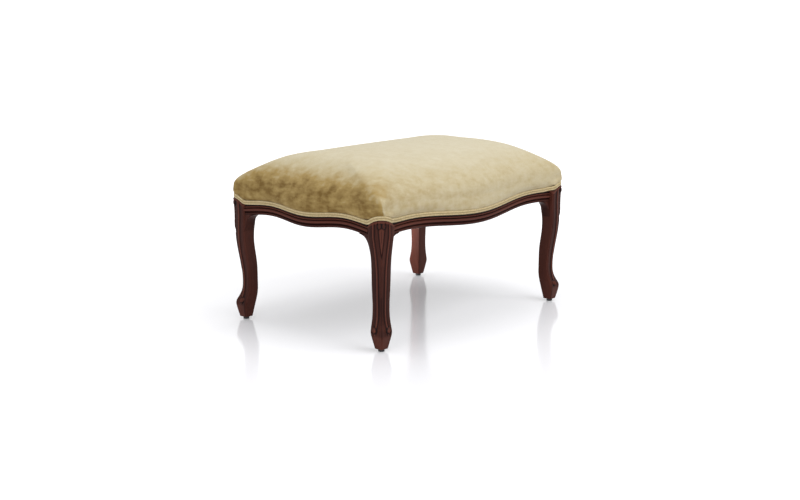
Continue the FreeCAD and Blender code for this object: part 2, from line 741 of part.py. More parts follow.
def make_dust_cover():
    """Black cloth on the rails' ledges, cut out around the legs."""
    body = new_body("dust_cover")
    sketch = new_sketch(body, "dust_outline", "XY_Plane", "Sizes.dust_height - Sizes.dust_thick")
    lap = "(Sizes.dust_ledge - Sizes.dust_margin)"
    x_in = f"({INNER_X} - Sizes.dust_margin)"
    y_in = f"({INNER_Y} - Sizes.dust_margin)"
    x_out = f"({INNER_X} + {lap})"
    y_out = f"({INNER_Y} + {lap})"
    corner = [(x_out, y_in), (x_in, y_in), (x_in, y_out)]
    outline = list(corner)
    outline += [(f"-{x}", y) for x, y in reversed(corner)]
    outline += [(f"-{x}", f"-{y}") for x, y in corner]
    outline += [(x, f"-{y}") for x, y in reversed(corner)]
    draw(sketch, outline)
    pad(body, "DustCover", sketch, "Sizes.dust_thick")
    return body


# Padding, cover and welt: forms that no sketch fits, from the same sizes read as plain numbers
V = {alias: amount(f"Sizes.{alias}") for alias, _, _ in SIZES}
HALF = {"long": V["frame_length"] / 2, "short": V["frame_width"] / 2}
KNEE_FACE = {"long": V["frame_width"] / 2, "short": V["frame_length"] / 2}
NOTCH = {side: HALF[side] - V["knee_size"] for side in HALF}
SIDE_SHARES = [-1, -0.97, -0.93, -0.88, -0.8, -0.65, -0.45, -0.22]
SIDE_SHARES += [0] + [-share for share in reversed(SIDE_SHARES)]
SETTLE_ROUNDS = 4

# How the cushion's form changes on its way up: levels between the rail and the welt, fullness
# (how closely the plan follows rail and knee) and the angles up the crown where changes end
TUCK_SHARES = (0, 0.35, 0.7, 1)
SWELL_FULLNESS = 0.95
CROWN_FULLNESS = 0.8
FOAM_FULLNESS = 0.5
CROWN_ANGLES = (12, 25, 40, 54, 66, 76, 84, 90)
FITTED_UNTIL = 50
ROUND_FROM = 75
ROUND_SHARE = 0.8

# Double welt: its waist as a share of a cord's radius, arcs in a cord, steps along a side
WELT_WAIST = 0.9
LOBE_ARCS = 3
WELT_STEPS = {"side": 24, "corner": 6}


def wave(distance, side):
    """The rails' serpentine wave at a distance from mid rail."""
    share = abs(distance) / NOTCH[side]
    return (1 + math.cos(math.pi * share / V[f"{side}_turn"])) / 2


def smooth(value):
    value = min(max(value, 0), 1)
    return value * value * (3 - 2 * value)


def side_line(distance, side, fullness):
    """Plan line of the upholstery: fullness 1 follows rail and knee, 0 is a plain bow."""
    rail = KNEE_FACE[side] - V[f"{side}_recess"] + V[f"{side}_bow"] * wave(distance, side)
    past_notch = abs(distance) - NOTCH[side]
    on_knee = smooth(past_notch / (2 * V["knee_ease"]) + 0.5)
    fitted = rail + (KNEE_FACE[side] - rail) * on_knee
    bow = V[f"{side}_bow"] * (distance / HALF[side]) ** 2
    plain = KNEE_FACE[side] - V[f"{side}_recess"] + V[f"{side}_bow"] - bow
    return fullness * fitted + (1 - fullness) * plain


def inset_line(distance, side, inset, fullness, slanting):
    """Side line moved in by an inset, which is square to the line itself where slanting is set."""
    stretch = 1
    if slanting:
        ease = V["knee_ease"]
        rise = side_line(distance + ease, side, fullness) - side_line(distance - ease, side, fullness)
        stretch = math.hypot(1, rise / (2 * ease))
    return side_line(distance, side, fullness) - inset[side] * stretch


def side_ends(inset, fullness, radius):
    """How far the long and short sides run before the corner's rounding, settled by repetition."""
    reach_x = HALF["long"] - radius
    reach_y = HALF["short"] - radius
    for _ in range(SETTLE_ROUNDS):
        far_y = side_line(reach_x, "long", fullness) - inset["long"]
        far_x = side_line(reach_y, "short", fullness) - inset["short"]
        reach_x = far_x - radius
        reach_y = far_y - radius
    return reach_x, reach_y


def spline(points):
    """Smooth curve through points, with the same knots for every level of a form."""
    curve = Part.BSplineCurve()
    knots = [share + 1 for share in SIDE_SHARES]
    curve.interpolate(Points=points, Parameters=knots)
    return curve.toShape()


def outline(height, inset, fullness, radius, slanting=False):
    """Closed plan outline of the upholstery at a height."""
    reach_x, reach_y = side_ends(inset, fullness, radius)
    knuckle = radius * (1 - math.sqrt(0.5))

    def line_y(x):
        return inset_line(x, "long", inset, fullness, slanting)

    def line_x(y):
        return inset_line(y, "short", inset, fullness, slanting)

    far_x = line_x(reach_y)
    far_y = line_y(reach_x)

    def corner(x_sign, y_sign, clockwise):
        first = Vector(x_sign * reach_x, y_sign * far_y, height)
        middle = Vector(x_sign * (far_x - knuckle), y_sign * (far_y - knuckle), height)
        last = Vector(x_sign * far_x, y_sign * reach_y, height)
        ends = (last, middle, first) if clockwise else (first, middle, last)
        return Part.Arc(*ends).toShape()

    front = [Vector(share * reach_x, -line_y(share * reach_x), height) for share in SIDE_SHARES]
    right = [Vector(line_x(share * reach_y), share * reach_y, height) for share in SIDE_SHARES]
    back = [Vector(-point.x, -point.y, height) for point in front]
    left = [Vector(-point.x, -point.y, height) for point in right]
    edges = [
        spline(front), corner(1, -1, False), spline(right), corner(1, 1, True),
        spline(back), corner(-1, 1, False), spline(left), corner(-1, -1, True),
    ]
    return Part.Wire(edges)


def even(inset):
    """The same inset on the long and the short sides."""
    return {"long": inset, "short": inset}


def crown_levels(base, top, inset):
    """Levels of a domed crown: ellipses from the widest line up, corners ever rounder."""
    levels = []
    for angle in CROWN_ANGLES:
        turn = math.radians(angle)
        level_inset = {}
        for side in HALF:
            run = V[f"{side}_crown"] - inset
            level_inset[side] = inset + run * (1 - math.cos(turn))
        narrow = KNEE_FACE["long"] - V["long_recess"] + V["long_bow"] - level_inset["long"]
        roundness = smooth(angle / ROUND_FROM)
        radius = V["corner_radius"] + (ROUND_SHARE * narrow - V["corner_radius"]) * roundness
        fullness = CROWN_FULLNESS * (1 - smooth(angle / FITTED_UNTIL))
        levels.append((base + (top - base) * math.sin(turn), level_inset, fullness, radius))
    return levels


def seat_form(inset, drop):
    """Upholstery form that lies inset inside the cover's face, and drop under its crown."""
    tuck = V["tuck_depth"] + inset
    widest = inset - V["side_swell"]
    corner = V["corner_radius"]
    levels = []
    for share in TUCK_SHARES:
        height = V["seat_start"] + (V["tuck_height"] - V["seat_start"]) * share
        levels.append((height, even(tuck), 1, corner, True))
    half_way = (V["tuck_height"] + V["swell_height"]) / 2
    levels.append((half_way, even((tuck + 2 * widest) / 3), 1, corner))
    levels.append((V["swell_height"], even(widest), SWELL_FULLNESS, corner))
    levels += crown_levels(V["swell_height"], V["seat_height"] - drop, widest)
    return Part.makeLoft([outline(*level) for level in levels], True, False)


def foam_form():
    base = amount(FOAM_BASE)
    inset = V["foam_setback"]
    top = V["seat_height"] - V["cover_thick"] - V["wadding_thick"]
    levels = [(base, even(inset), FOAM_FULLNESS, V["corner_radius"])]
    levels += crown_levels(base, top, inset)
    return Part.makeLoft([outline(*level) for level in levels], True, False)


def formed(label, shape):
    """Document object for a form, its largest solid only: cutting may leave crumbs."""
    feature = doc.addObject("Part::Feature", label)
    feature.Label = label
    feature.Shape = max(shape.Solids, key=lambda solid: solid.Volume)
    feature.Placement = Placement()
    return feature


def show_edge(distance, side):
    """Height of a rail's upper show edge at a distance from mid rail."""
    return V[f"{side}_edge"] - V[f"{side}_dip"] * wave(distance, side)


def edge_cutter(side):
    """Everything under a rail's show edge, from the rail's back outwards, front or left side."""
    reach = NOTCH[side]
    back = NOTCH["short"] if side == "long" else NOTCH["long"]
    depth = KNEE_FACE[side] + V["knee_size"] - back
    floor = V["dust_height"] - V["knee_size"]
    on_plane = Vector if side == "long" else (lambda x, y, z: Vector(y, x, z))
    outward = on_plane(0, -depth, 0)
    top = [on_plane(share * reach, -back, show_edge(share * reach, side)) for share in SIDE_SHARES]
    low_start = on_plane(-reach, -back, floor)
    low_end = on_plane(reach, -back, floor)
    edges = [
        spline(top),
        Part.makeLine(top[-1], low_end),
        Part.makeLine(low_end, low_start),
        Part.makeLine(low_start, top[0]),
    ]
    return Part.Face(Part.Wire(edges)).extrude(outward)


def knee_cutter():
    """Everything under the arched top of the front left knee."""
    knee = V["knee_size"]
    corner = Vector(-HALF["long"], -HALF["short"], V["crest_height"] - V["crest_radius"])
    inward = Vector(1, 1, 0)
    start = corner - inward * knee
    arch = Part.makeCylinder(V["crest_radius"], 4 * knee, start, inward)
    block = Part.makeBox(2 * knee, 2 * knee, 2 * knee, start - Vector(0, 0, knee))
    return arch.common(block)


def show_wood_cutters():
    """The four rails' and four knees' show-wood, as simple blocks to cut the padding with."""
    front = edge_cutter("long")
    left = edge_cutter("short")
    knee = knee_cutter()
    middle = Vector(0, 0, 0)
    cutters = [front, front.mirror(middle, ALONG), left, left.mirror(middle, ACROSS)]
    for shape in (knee, knee.mirror(middle, ALONG)):
        cutters += [shape, shape.mirror(middle, ACROSS)]
    return cutters


def make_padding():
    """Foam, wadding and velvet cover, each cut to lie on the next and on the show-wood."""
    foam = foam_form()
    under_cover = seat_form(V["cover_thick"], V["cover_thick"])
    outside = seat_form(0, 0)
    wood = show_wood_cutters()
    rail_backs = outline(V["seat_start"], even(V["rebate"] - V["pad_clearance"]), 1, V["corner_radius"])
    depth = V["rail_top"] + V["pad_clearance"] - V["seat_start"]
    core = Part.Face(rail_backs).extrude(Vector(0, 0, depth))
    well_x = NOTCH["long"] + V["web_seat"] + V["dust_margin"]
    well_y = NOTCH["short"] + V["web_seat"] + V["dust_margin"]
    corner = Vector(-well_x, -well_y, V["seat_start"])
    well = Part.makeBox(2 * well_x, 2 * well_y, amount(FOAM_BASE) - V["seat_start"], corner)
    wadding = under_cover.cut([foam, well, core] + wood)
    cover = outside.cut([under_cover] + wood)
    return [
        formed("foam_core", foam),
        formed("wadding", wadding),
        formed("velvet_cover", cover),
    ]


def knee_arch(past_x, past_y):
    """Height of a knee's top at distances outward from the rails' inner faces."""
    radius = V["crest_radius"]
    across = (past_x - past_y) / math.sqrt(2)
    return V["crest_height"] - radius + math.sqrt(max(radius ** 2 - across ** 2, 0))


def welt_height(x, y):
    """Height of the show-wood under the welt: the knee's arch, easing down to the rail's edge."""
    past = {"long": abs(x) - NOTCH["long"], "short": abs(y) - NOTCH["short"]}
    if min(past.values()) > 0:
        return knee_arch(past["long"], past["short"])
    side = "long" if past["short"] > 0 else "short"
    beside = past["short"] if side == "long" else past["long"]
    step = knee_arch(0, beside) - show_edge(NOTCH[side], side)
    along = x if side == "long" else y
    return show_edge(along, side) + step * math.exp(past[side] / V["knee_ease"])


def welt_section(middle, outward):
    """Two round cords, one above the other, joined at a narrow waist."""
    radius = V["welt_cord"] / 2
    rise = radius * WELT_WAIST
    waist_angle = math.asin(WELT_WAIST)
    span = math.pi + 2 * waist_angle
    edges = []
    for side in (1, -1):
        centre = middle + Vector(0, 0, side * rise)

        def on_cord(angle):
            across = outward * (side * radius * math.cos(angle))
            return centre + across + Vector(0, 0, side * radius * math.sin(angle))

        for number in range(LOBE_ARCS):
            start = -waist_angle + span * number / LOBE_ARCS
            end = -waist_angle + span * (number + 1) / LOBE_ARCS
            edges.append(Part.Arc(on_cord(start), on_cord((start + end) / 2), on_cord(end)).toShape())
    return Part.Wire(edges)


def make_welt():
    """Double welt along the show-wood's upper edge: over the knees and along the waves."""
    route = outline(0, even(V["welt_inset"]), 1, V["corner_radius"], slanting=True)
    lift = V["welt_lift"] + V["welt_cord"] / 2 * (1 + WELT_WAIST)
    sections = []
    for number, edge in enumerate(route.Edges):
        steps = WELT_STEPS["corner"] if number % 2 else WELT_STEPS["side"]
        for step in range(steps):
            at = edge.FirstParameter + (edge.LastParameter - edge.FirstParameter) * step / steps
            point = edge.valueAt(at)
            forward = edge.tangentAt(at)
            outward = Vector(forward.y, -forward.x, 0)
            middle = Vector(point.x, point.y, welt_height(point.x, point.y) + lift)
            sections.append(welt_section(middle, outward))
    half = len(sections) // 2
    front_half = Part.makeLoft(sections[:half + 1], True)
    back_half = Part.makeLoft(sections[half:] + sections[:1], True)
    return formed("double_welt", front_half.fuse(back_half))


pieces = four_corners("leg", make_leg())
rail_front = make_rail("rail_front", "long")
rail_left = make_rail("rail_left", "short")
pieces += [rail_front, mirrored("rail_back", rail_front, ALONG)]
pieces += [rail_left, mirrored("rail_right", rail_left, ACROSS)]
pieces += four_corners("long_bracket", make_bracket("long_bracket_front_left", "long"))
pieces += four_corners("short_bracket", make_bracket("short_bracket_front_left", "short"))
pieces += four_corners("corner_block", make_block())
pieces += four_corners("glide", make_glide())
pieces.append(grouped("rail_dowels", make_dowels()))
pieces.append(grouped("corner_block_screws", make_screws()))
pieces += make_webbing()
pieces.append(make_hessian())
pieces.append(make_dust_cover())
doc.recompute()
pieces += make_padding()
pieces.append(make_welt())
doc.recompute()


def check_pieces():
    """Stop if any object failed to build or any piece is not a sound solid."""
    for item in doc.Objects:
        if "Invalid" in item.State or "Error" in item.State:
            raise RuntimeError(f"{item.Name} did not build: {item.State}")
    for piece in pieces:
        if piece.Shape.isNull() or not piece.Shape.isValid() or not piece.Shape.Solids:
            raise RuntimeError(f"{piece.Label} is not a sound solid")


check_pieces()
os.makedirs("parts", exist_ok=True)
for piece in pieces:
    piece.Shape.exportStep(f"parts/{piece.Label}.step")
    print(piece.Label, round(piece.Shape.Volume), len(piece.Shape.Solids))
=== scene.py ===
"""Looks of the upholstered bench: carved legs, velvet seat, double welt, dust cloth, light and camera.

The scene is in metres; the shapes are worked out in millimetres, in the frame of the CAD model.
"""
import math

import bmesh
import bpy
import numpy as np
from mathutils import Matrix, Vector


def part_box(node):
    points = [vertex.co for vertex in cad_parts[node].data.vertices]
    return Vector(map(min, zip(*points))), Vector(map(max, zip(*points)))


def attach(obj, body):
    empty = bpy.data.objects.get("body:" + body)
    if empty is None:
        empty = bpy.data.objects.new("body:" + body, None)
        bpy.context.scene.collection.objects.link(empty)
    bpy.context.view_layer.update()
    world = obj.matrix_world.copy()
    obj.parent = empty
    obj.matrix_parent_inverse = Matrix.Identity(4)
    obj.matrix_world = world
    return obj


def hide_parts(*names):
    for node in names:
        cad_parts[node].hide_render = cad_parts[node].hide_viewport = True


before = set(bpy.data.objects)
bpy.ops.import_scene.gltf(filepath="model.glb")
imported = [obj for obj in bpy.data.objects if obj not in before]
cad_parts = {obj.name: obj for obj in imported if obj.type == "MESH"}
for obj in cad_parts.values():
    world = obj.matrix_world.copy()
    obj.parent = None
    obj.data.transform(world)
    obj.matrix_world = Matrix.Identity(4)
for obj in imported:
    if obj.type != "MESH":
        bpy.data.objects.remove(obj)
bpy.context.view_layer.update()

MM = 0.001
TINY = 1e-6
BODY = "root"
CORNERS = {
    "front_left": (-1, -1),
    "front_right": (1, -1),
    "back_left": (-1, 1),
    "back_right": (1, 1),
}

# Sizes of the frame and the seat in millimetres, the CAD model's or close to them
HALF_LENGTH = 342
HALF_WIDTH = 244
KNEE_SIZE = 43
CREST_HEIGHT = 300
CREST_RADIUS = 36
SIDE_ROUND = 4
ARRIS = 1.5
GLIDE_HEIGHT = 6.5
SIDES = {
    "long": {"half": HALF_LENGTH, "face": HALF_WIDTH, "recess": 15, "bow": 20,
             "edge": 288.5, "dip": 13.6, "turn": 0.76, "axes": [0, 1, 2]},
    "short": {"half": HALF_WIDTH, "face": HALF_LENGTH, "recess": 8, "bow": 8.2,
              "edge": 291.8, "dip": 9.4, "turn": 0.6, "axes": [1, 0, 2]},
}
SEAT_TOP = 416
SWELL_HEIGHT = 323
SIDE_SWELL = 1.5
TUCK_DEPTH = 6.9
KNEE_EASE = 8
CROWN = {"long": 233, "short": 165}
CORNER_RADIUS = 16
WELT_CORD = 5.2
WELT_INSET = 1.6
WELT_LIFT = 0.3
WELT_WAIST = 0.9
WELT_MIDDLE = WELT_LIFT + WELT_CORD / 2 * (1 + WELT_WAIST)


# Curves
def smooth(value):
    """Smooth step from 0 to 1."""
    value = np.clip(value, 0, 1)
    return value * value * (3 - 2 * value)


def rise(value, start, end):
    """0 at start, 1 at end and smooth between them, whichever of the two is larger."""
    return smooth((value - start) / (end - start))


def bump(distance, width):
    """Soft round bump of height 1 at distance 0."""
    return np.exp(-(distance / width) ** 2)


def window(value, start, end, ease):
    """1 between start and end, easing to 0 outside."""
    return rise(value, start - ease, start) * rise(value, end + ease, end)


def evened(values, rounds, axis):
    """Values round closed rings, blended with their neighbours."""
    for _ in range(rounds):
        values = (np.roll(values, 1, axis=axis) + 2 * values + np.roll(values, -1, axis=axis)) / 4
    return values


def lengths_along(points):
    """Distance of each point from the first, along the line of points."""
    return np.concatenate([[0], np.cumsum(np.linalg.norm(np.diff(points, axis=0), axis=1))])


def unit(vectors):
    """Vectors brought to length 1."""
    return vectors / np.maximum(np.linalg.norm(vectors, axis=1), TINY)[:, None]


def tangents(ring):
    """Directions along a closed ring, of any length."""
    return np.roll(ring, -1, axis=0) - np.roll(ring, 1, axis=0)


def level_outward(along):
    """Level directions to the right of those along an anticlockwise ring."""
    return unit(np.column_stack([along[:, 1], -along[:, 0], np.zeros(len(along))]))


# Meshes
def add_to_scene(name, data):
    piece = bpy.data.objects.new(name, data)
    bpy.context.scene.collection.objects.link(piece)
    return piece


def new_object(name, vertices, faces, material):
    """Smooth mesh object from points in millimetres."""
    mesh = bpy.data.meshes.new(name)
    mesh.from_pydata((np.asarray(vertices, float) * MM).tolist(), [], faces)
    mesh.validate()
    mesh.polygons.foreach_set("use_smooth", [True] * len(mesh.polygons))
    mesh.materials.append(material)
    mesh.update()
    return add_to_scene(name, mesh)


def add_attribute(piece, name, values):
    attribute = piece.data.attributes.new(name, "FLOAT", "POINT")
    attribute.data.foreach_set("value", np.asarray(values, np.float32))


def grid_faces(grid):
    """Faces between the rows of a grid of point numbers, whose rows are closed rings."""
    after = np.roll(grid, -1, axis=1)
    quads = np.stack([grid[:-1], after[:-1], after[1:], grid[1:]], axis=-1).reshape(-1, 4)
    return [tuple(dict.fromkeys(quad)) for quad in quads.tolist()]


def tube_faces(rings):
    """Faces between stacked closed rings of points, and one over each end."""
    grid = np.arange(len(rings) * len(rings[0])).reshape(len(rings), -1)
    return grid_faces(grid) + [tuple(grid[0][::-1].tolist()), tuple(grid[-1].tolist())]


def mend(piece):
    """Turn all faces outward and drop points that no face uses."""
    shape = bmesh.new()
    shape.from_mesh(piece.data)
    bmesh.ops.delete(shape, geom=[point for point in shape.verts if not point.link_faces], context="VERTS")
    bmesh.ops.recalc_face_normals(shape, faces=shape.faces)
    shape.to_mesh(piece.data)
    shape.free()


SHARP_ANGLE = 50


def lofted(name, rings, material):
    """Piece through stacked closed rings, crisp where its faces meet at a steep angle."""
    piece = new_object(name, np.vstack(rings), tube_faces(rings), material)
    mend(piece)
    piece.data.set_sharp_from_angle(angle=math.radians(SHARP_ANGLE))
    return piece


# Shader nodes
MIX_FACTOR = 0
MIX_FIRST = 6
MIX_SECOND = 7
MIX_RESULT = 2


def node_material(name):
    material = bpy.data.materials.new(name)
    material.use_nodes = True
    return material, material.node_tree, material.node_tree.nodes["Principled BSDF"]


def set_inputs(tree, node, inputs):
    """Feed a node's inputs from other nodes or give them values, colours without alpha."""
    for name, value in inputs.items():
        socket = node.inputs[name]
        if isinstance(value, bpy.types.NodeSocket):
            tree.links.new(value, socket)
        elif socket.type == "RGBA":
            socket.default_value = (*value, 1)
        else:
            socket.default_value = value


def add_node(tree, kind, inputs, **settings):
    node = tree.nodes.new(kind)
    for name, value in settings.items():
        setattr(node, name, value)
    set_inputs(tree, node, inputs)
    return node


def texture_space(tree, scale=(1, 1, 1)):
    """Object coordinates, scaled separately along X, Y and Z."""
    coordinates = tree.nodes.new("ShaderNodeTexCoord").outputs["Object"]
    mapping = add_node(tree, "ShaderNodeMapping", {"Vector": coordinates, "Scale": scale})
    return mapping.outputs["Vector"]


def noise_field(tree, vector, scale, detail=4, roughness=0.5, distortion=0):
    inputs = {"Scale": scale, "Detail": detail, "Roughness": roughness, "Distortion": distortion}
    return add_node(tree, "ShaderNodeTexNoise", {"Vector": vector, **inputs}).outputs["Fac"]


def ramp(tree, factor, stops):
    """Colours at given places from 0 to 1, blended between them."""
    node = add_node(tree, "ShaderNodeValToRGB", {"Fac": factor})
    elements = node.color_ramp.elements
    while len(elements) < len(stops):
        elements.new(0.5)
    for element, (position, color) in zip(elements, stops):
        element.position = position
        element.color = (*color, 1)
    return node.outputs["Color"]


def two_tones(tree, factor, dark, light, start=0.3, end=0.7):
    return ramp(tree, factor, [(start, dark), (end, light)])


def mix_color(tree, factor, first, second, mode="MIX"):
    inputs = {MIX_FACTOR: factor, MIX_FIRST: first, MIX_SECOND: second}
    settings = {"data_type": "RGBA", "blend_type": mode, "clamp_factor": True}
    return add_node(tree, "ShaderNodeMix", inputs, **settings).outputs[MIX_RESULT]


def scaled(tree, value, low, high, start=0, end=1):
    """Value from start..end moved to low..high."""
    inputs = {"Value": value, "From Min": start, "From Max": end, "To Min": low, "To Max": high}
    return add_node(tree, "ShaderNodeMapRange", inputs).outputs["Result"]


def worked_out(tree, operation, *values, clamp=False):
    """Result of a sum, product or the like."""
    inputs = dict(enumerate(values))
    return add_node(tree, "ShaderNodeMath", inputs, operation=operation, use_clamp=clamp).outputs[0]


def bumped(tree, shader, height, distance, strength):
    inputs = {"Height": height, "Distance": distance, "Strength": strength}
    set_inputs(tree, shader, {"Normal": add_node(tree, "ShaderNodeBump", inputs).outputs["Normal"]})


def read_attribute(tree, name):
    return add_node(tree, "ShaderNodeAttribute", {}, attribute_name=name).outputs["Fac"]


# Materials
WHITE = (1, 1, 1)
WOOD_TONES = [
    (0.3, (0.032, 0.0092, 0.0065)),
    (0.5, (0.053, 0.0152, 0.0104)),
    (0.72, (0.08, 0.0232, 0.0148)),
]
# Colours of painted wear and highlight, and of painted shade
WOOD_WEAR_AND_PAINTED_LIGHT = (0.155, 0.047, 0.031)
WOOD_PAINTED_SHADE = (0.0075, 0.0035, 0.0037)
PORE_DARK = (0.68, 0.64, 0.63)
PORE_SHARE = 0.8


def stained_wood(name, grain):
    """Dark stained hardwood under satin lacquer, its grain long where its texture space is small."""
    material, tree, shader = node_material(name)
    vector = texture_space(tree, grain)
    figure = noise_field(tree, vector, scale=46, detail=5, roughness=0.55, distortion=0.6)
    pores = noise_field(tree, vector, scale=900, detail=2, roughness=0.6)
    pore_shade = two_tones(tree, pores, PORE_DARK, WHITE, start=0.36, end=0.52)
    color = mix_color(tree, PORE_SHARE, ramp(tree, figure, WOOD_TONES), pore_shade, "MULTIPLY")
    # Painted wear and highlight on crests, painted shade in recesses and on shaded faces
    color = mix_color(tree, read_attribute(tree, "worn"), color, WOOD_WEAR_AND_PAINTED_LIGHT)
    color = mix_color(tree, read_attribute(tree, "hollow"), color, WOOD_PAINTED_SHADE)
    set_inputs(tree, shader, {
        "Base Color": color,
        "Roughness": scaled(tree, figure, low=0.3, high=0.46),
        "Coat Weight": 0.03,
        "Coat Roughness": 0.2,
        "Specular IOR Level": 0.06,
    })
    bumped(tree, shader, pores, distance=0.0002, strength=0.35)
    return material


SLUB_SHARE = 0.35


def woven(name, dark, light, threads):
    """Plain weave: two crossed waves of threads, broken up by noise."""
    material, tree, shader = node_material(name)
    vector = texture_space(tree)
    bands = []
    for direction in ("X", "Y"):
        inputs = {"Vector": vector, "Scale": threads, "Distortion": 0.6}
        band = add_node(tree, "ShaderNodeTexWave", inputs, bands_direction=direction)
        bands.append(band.outputs["Fac"])
    height = worked_out(tree, "MULTIPLY", *bands)
    slubs = noise_field(tree, vector, scale=220, detail=3)
    weave = two_tones(tree, height, dark, light, start=0.1, end=0.75)
    color = mix_color(tree, SLUB_SHARE, weave, two_tones(tree, slubs, dark, light))
    set_inputs(tree, shader, {"Base Color": color, "Roughness": 0.9})
    bumped(tree, shader, height, distance=0.0004, strength=0.6)
    return material


PLAIN = {"space": (1, 1, 1), "detail": 4, "distortion": 0, "distance": 0.0003, "strength": 0.3}
RAW = {"space": (1, 0.12, 1), "detail": 5, "distortion": 0.4, "distance": 0.0004, "strength": 0.4}


def plain_finish(name, dark, light, roughness, scale, metallic=0.0, grain=PLAIN):
    """Even material with a fine grain in colour and surface."""
    material, tree, shader = node_material(name)
    vector = texture_space(tree, grain["space"])
    field = noise_field(tree, vector, scale, grain["detail"], distortion=grain["distortion"])
    set_inputs(tree, shader, {
        "Base Color": two_tones(tree, field, dark, light),
        "Roughness": roughness,
        "Metallic": metallic,
    })
    bumped(tree, shader, field, grain["distance"], grain["strength"])
    return material


# Velvet colours from painted shade to painted sheen
NAP_SHEEN_AND_SHADE_TONES = [
    (0.0, (0.185, 0.108, 0.025)),
    (0.3, (0.385, 0.268, 0.096)),
    (0.66, (0.555, 0.473, 0.297)),
    (0.98, (0.64, 0.582, 0.432)),
]
# Crushed patches, small flecks and upright streaks: texture space, noise, and how far each changes
# the tone where the painted nap shade is dark and where the painted nap sheen is pale
NAP_FIELDS = [
    ((0.85, 0.85, 1.5), {"scale": 40, "detail": 3, "distortion": 0.3}, (0.95, 0.2)),
    ((0.5, 0.5, 1.4), {"scale": 110, "detail": 2, "distortion": 0.3}, (0.36, 0.1)),
    ((1, 1, 0.22), {"scale": 75, "detail": 4, "roughness": 0.6}, (0.25, 0.25)),
]
PILE_DARK = (0.86, 0.85, 0.83)
SHEEN_TINT = (1, 0.95, 0.82)


def velvet(name):
    """Cut pile velvet: painted sheen and shade of its nap turn the colour from olive gold to pale
    champagne.
    """
    material, tree, shader = node_material(name)
    # Painted sheen and shade of the nap, read from the mesh
    nap_sheen_and_shade = read_attribute(tree, "nap_sheen_and_shade")
    tone = nap_sheen_and_shade
    for space, noise, (on_dark, on_pale) in NAP_FIELDS:
        field = noise_field(tree, texture_space(tree, space), **noise)
        amount = scaled(tree, nap_sheen_and_shade, on_dark, on_pale)
        tone = worked_out(tree, "MULTIPLY_ADD", scaled(tree, field, -0.5, 0.5), amount, tone)
    pile = noise_field(tree, texture_space(tree), scale=1500, detail=2)
    pile_shade = two_tones(tree, pile, PILE_DARK, WHITE, end=0.6)
    set_inputs(tree, shader, {
        "Base Color": mix_color(tree, 1, ramp(tree, tone, NAP_SHEEN_AND_SHADE_TONES), pile_shade, "MULTIPLY"),
        "Roughness": 0.85,
        "Specular IOR Level": 0.15,
        "Sheen Weight": 0.22,
        "Sheen Roughness": 0.45,
        "Sheen Tint": SHEEN_TINT,
    })
    bumped(tree, shader, pile, distance=0.0004, strength=0.35)
    return material


WELT_TONES = [
    (0.25, (0.44, 0.335, 0.16)),
    (0.5, (0.57, 0.46, 0.255)),
    (0.8, (0.67, 0.56, 0.335)),
]
WELT_SEAM = (0.3, 0.215, 0.1)


def welt_velvet(name):
    """Velvet cut on the bias around the cords, a little gathered."""
    material, tree, shader = node_material(name)
    vector = texture_space(tree)
    folds = noise_field(tree, vector, scale=240, detail=3)
    pile = noise_field(tree, vector, scale=1700, detail=2)
    color = mix_color(tree, read_attribute(tree, "seam"), ramp(tree, folds, WELT_TONES), WELT_SEAM)
    set_inputs(tree, shader, {
        "Base Color": color,
        "Roughness": 0.8,
        "Specular IOR Level": 0.2,
        "Sheen Weight": 0.3,
        "Sheen Roughness": 0.4,
        "Sheen Tint": SHEEN_TINT,
    })
    bumped(tree, shader, pile, distance=0.0004, strength=0.4)
    return material


LEG_WOOD = stained_wood("leg_wood", (1, 1, 0.09))
RAIL_WOOD = {
    "long": stained_wood("long_rail_wood", (0.09, 1, 1)),
    "short": stained_wood("short_rail_wood", (1, 0.09, 1)),
}
BRACKET_WOOD = stained_wood("bracket_wood", (1, 1, 0.09))
RAW_WOOD = plain_finish("raw_beech", (0.42, 0.27, 0.14), (0.58, 0.41, 0.24), 0.75, 60, grain=RAW)
VELVET = velvet("velvet")
WELT_VELVET = welt_velvet("welt_velvet")
DUST_CLOTH = plain_finish("dust_cloth", (0.006, 0.006, 0.007), (0.018, 0.018, 0.02), 0.9, 700)
GLIDE = plain_finish("glide_plastic", (0.008, 0.008, 0.009), (0.016, 0.016, 0.017), 0.45, 400)
STEEL = plain_finish("screw_steel", (0.42, 0.41, 0.38), (0.6, 0.59, 0.55), 0.35, 300, metallic=1.0)
FOAM = plain_finish("foam", (0.66, 0.56, 0.33), (0.8, 0.72, 0.5), 0.95, 500)
WADDING = plain_finish("wadding", (0.75, 0.74, 0.7), (0.9, 0.89, 0.86), 0.95, 250)
WEBBING = woven("webbing", (0.16, 0.1, 0.045), (0.36, 0.27, 0.14), 170)
HESSIAN = woven("hessian", (0.2, 0.13, 0.06), (0.42, 0.31, 0.17), 130)

# Material of each CAD node by the start of its name, the first that fits
CAD_MATERIALS = {
    "rail_left": RAIL_WOOD["short"],
    "rail_right": RAIL_WOOD["short"],
    "rail_dowels": RAW_WOOD,
    "rail": RAIL_WOOD["long"],
    "long_bracket": BRACKET_WOOD,
    "short_bracket": BRACKET_WOOD,
    "corner_block_screws": STEEL,
    "corner_block": RAW_WOOD,
    "glide": GLIDE,
    "webbing": WEBBING,
    "hessian": HESSIAN,
    "dust_cover": DUST_CLOTH,
    "foam": FOAM,
    "wadding": WADDING,
    "velvet": VELVET,
    "double_welt": WELT_VELVET,
    "leg": LEG_WOOD,
}

for node_name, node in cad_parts.items():
    finish = next(material for start, material in CAD_MATERIALS.items() if node_name.startswith(start))
    node.data.materials.clear()
    node.data.materials.append(finish)

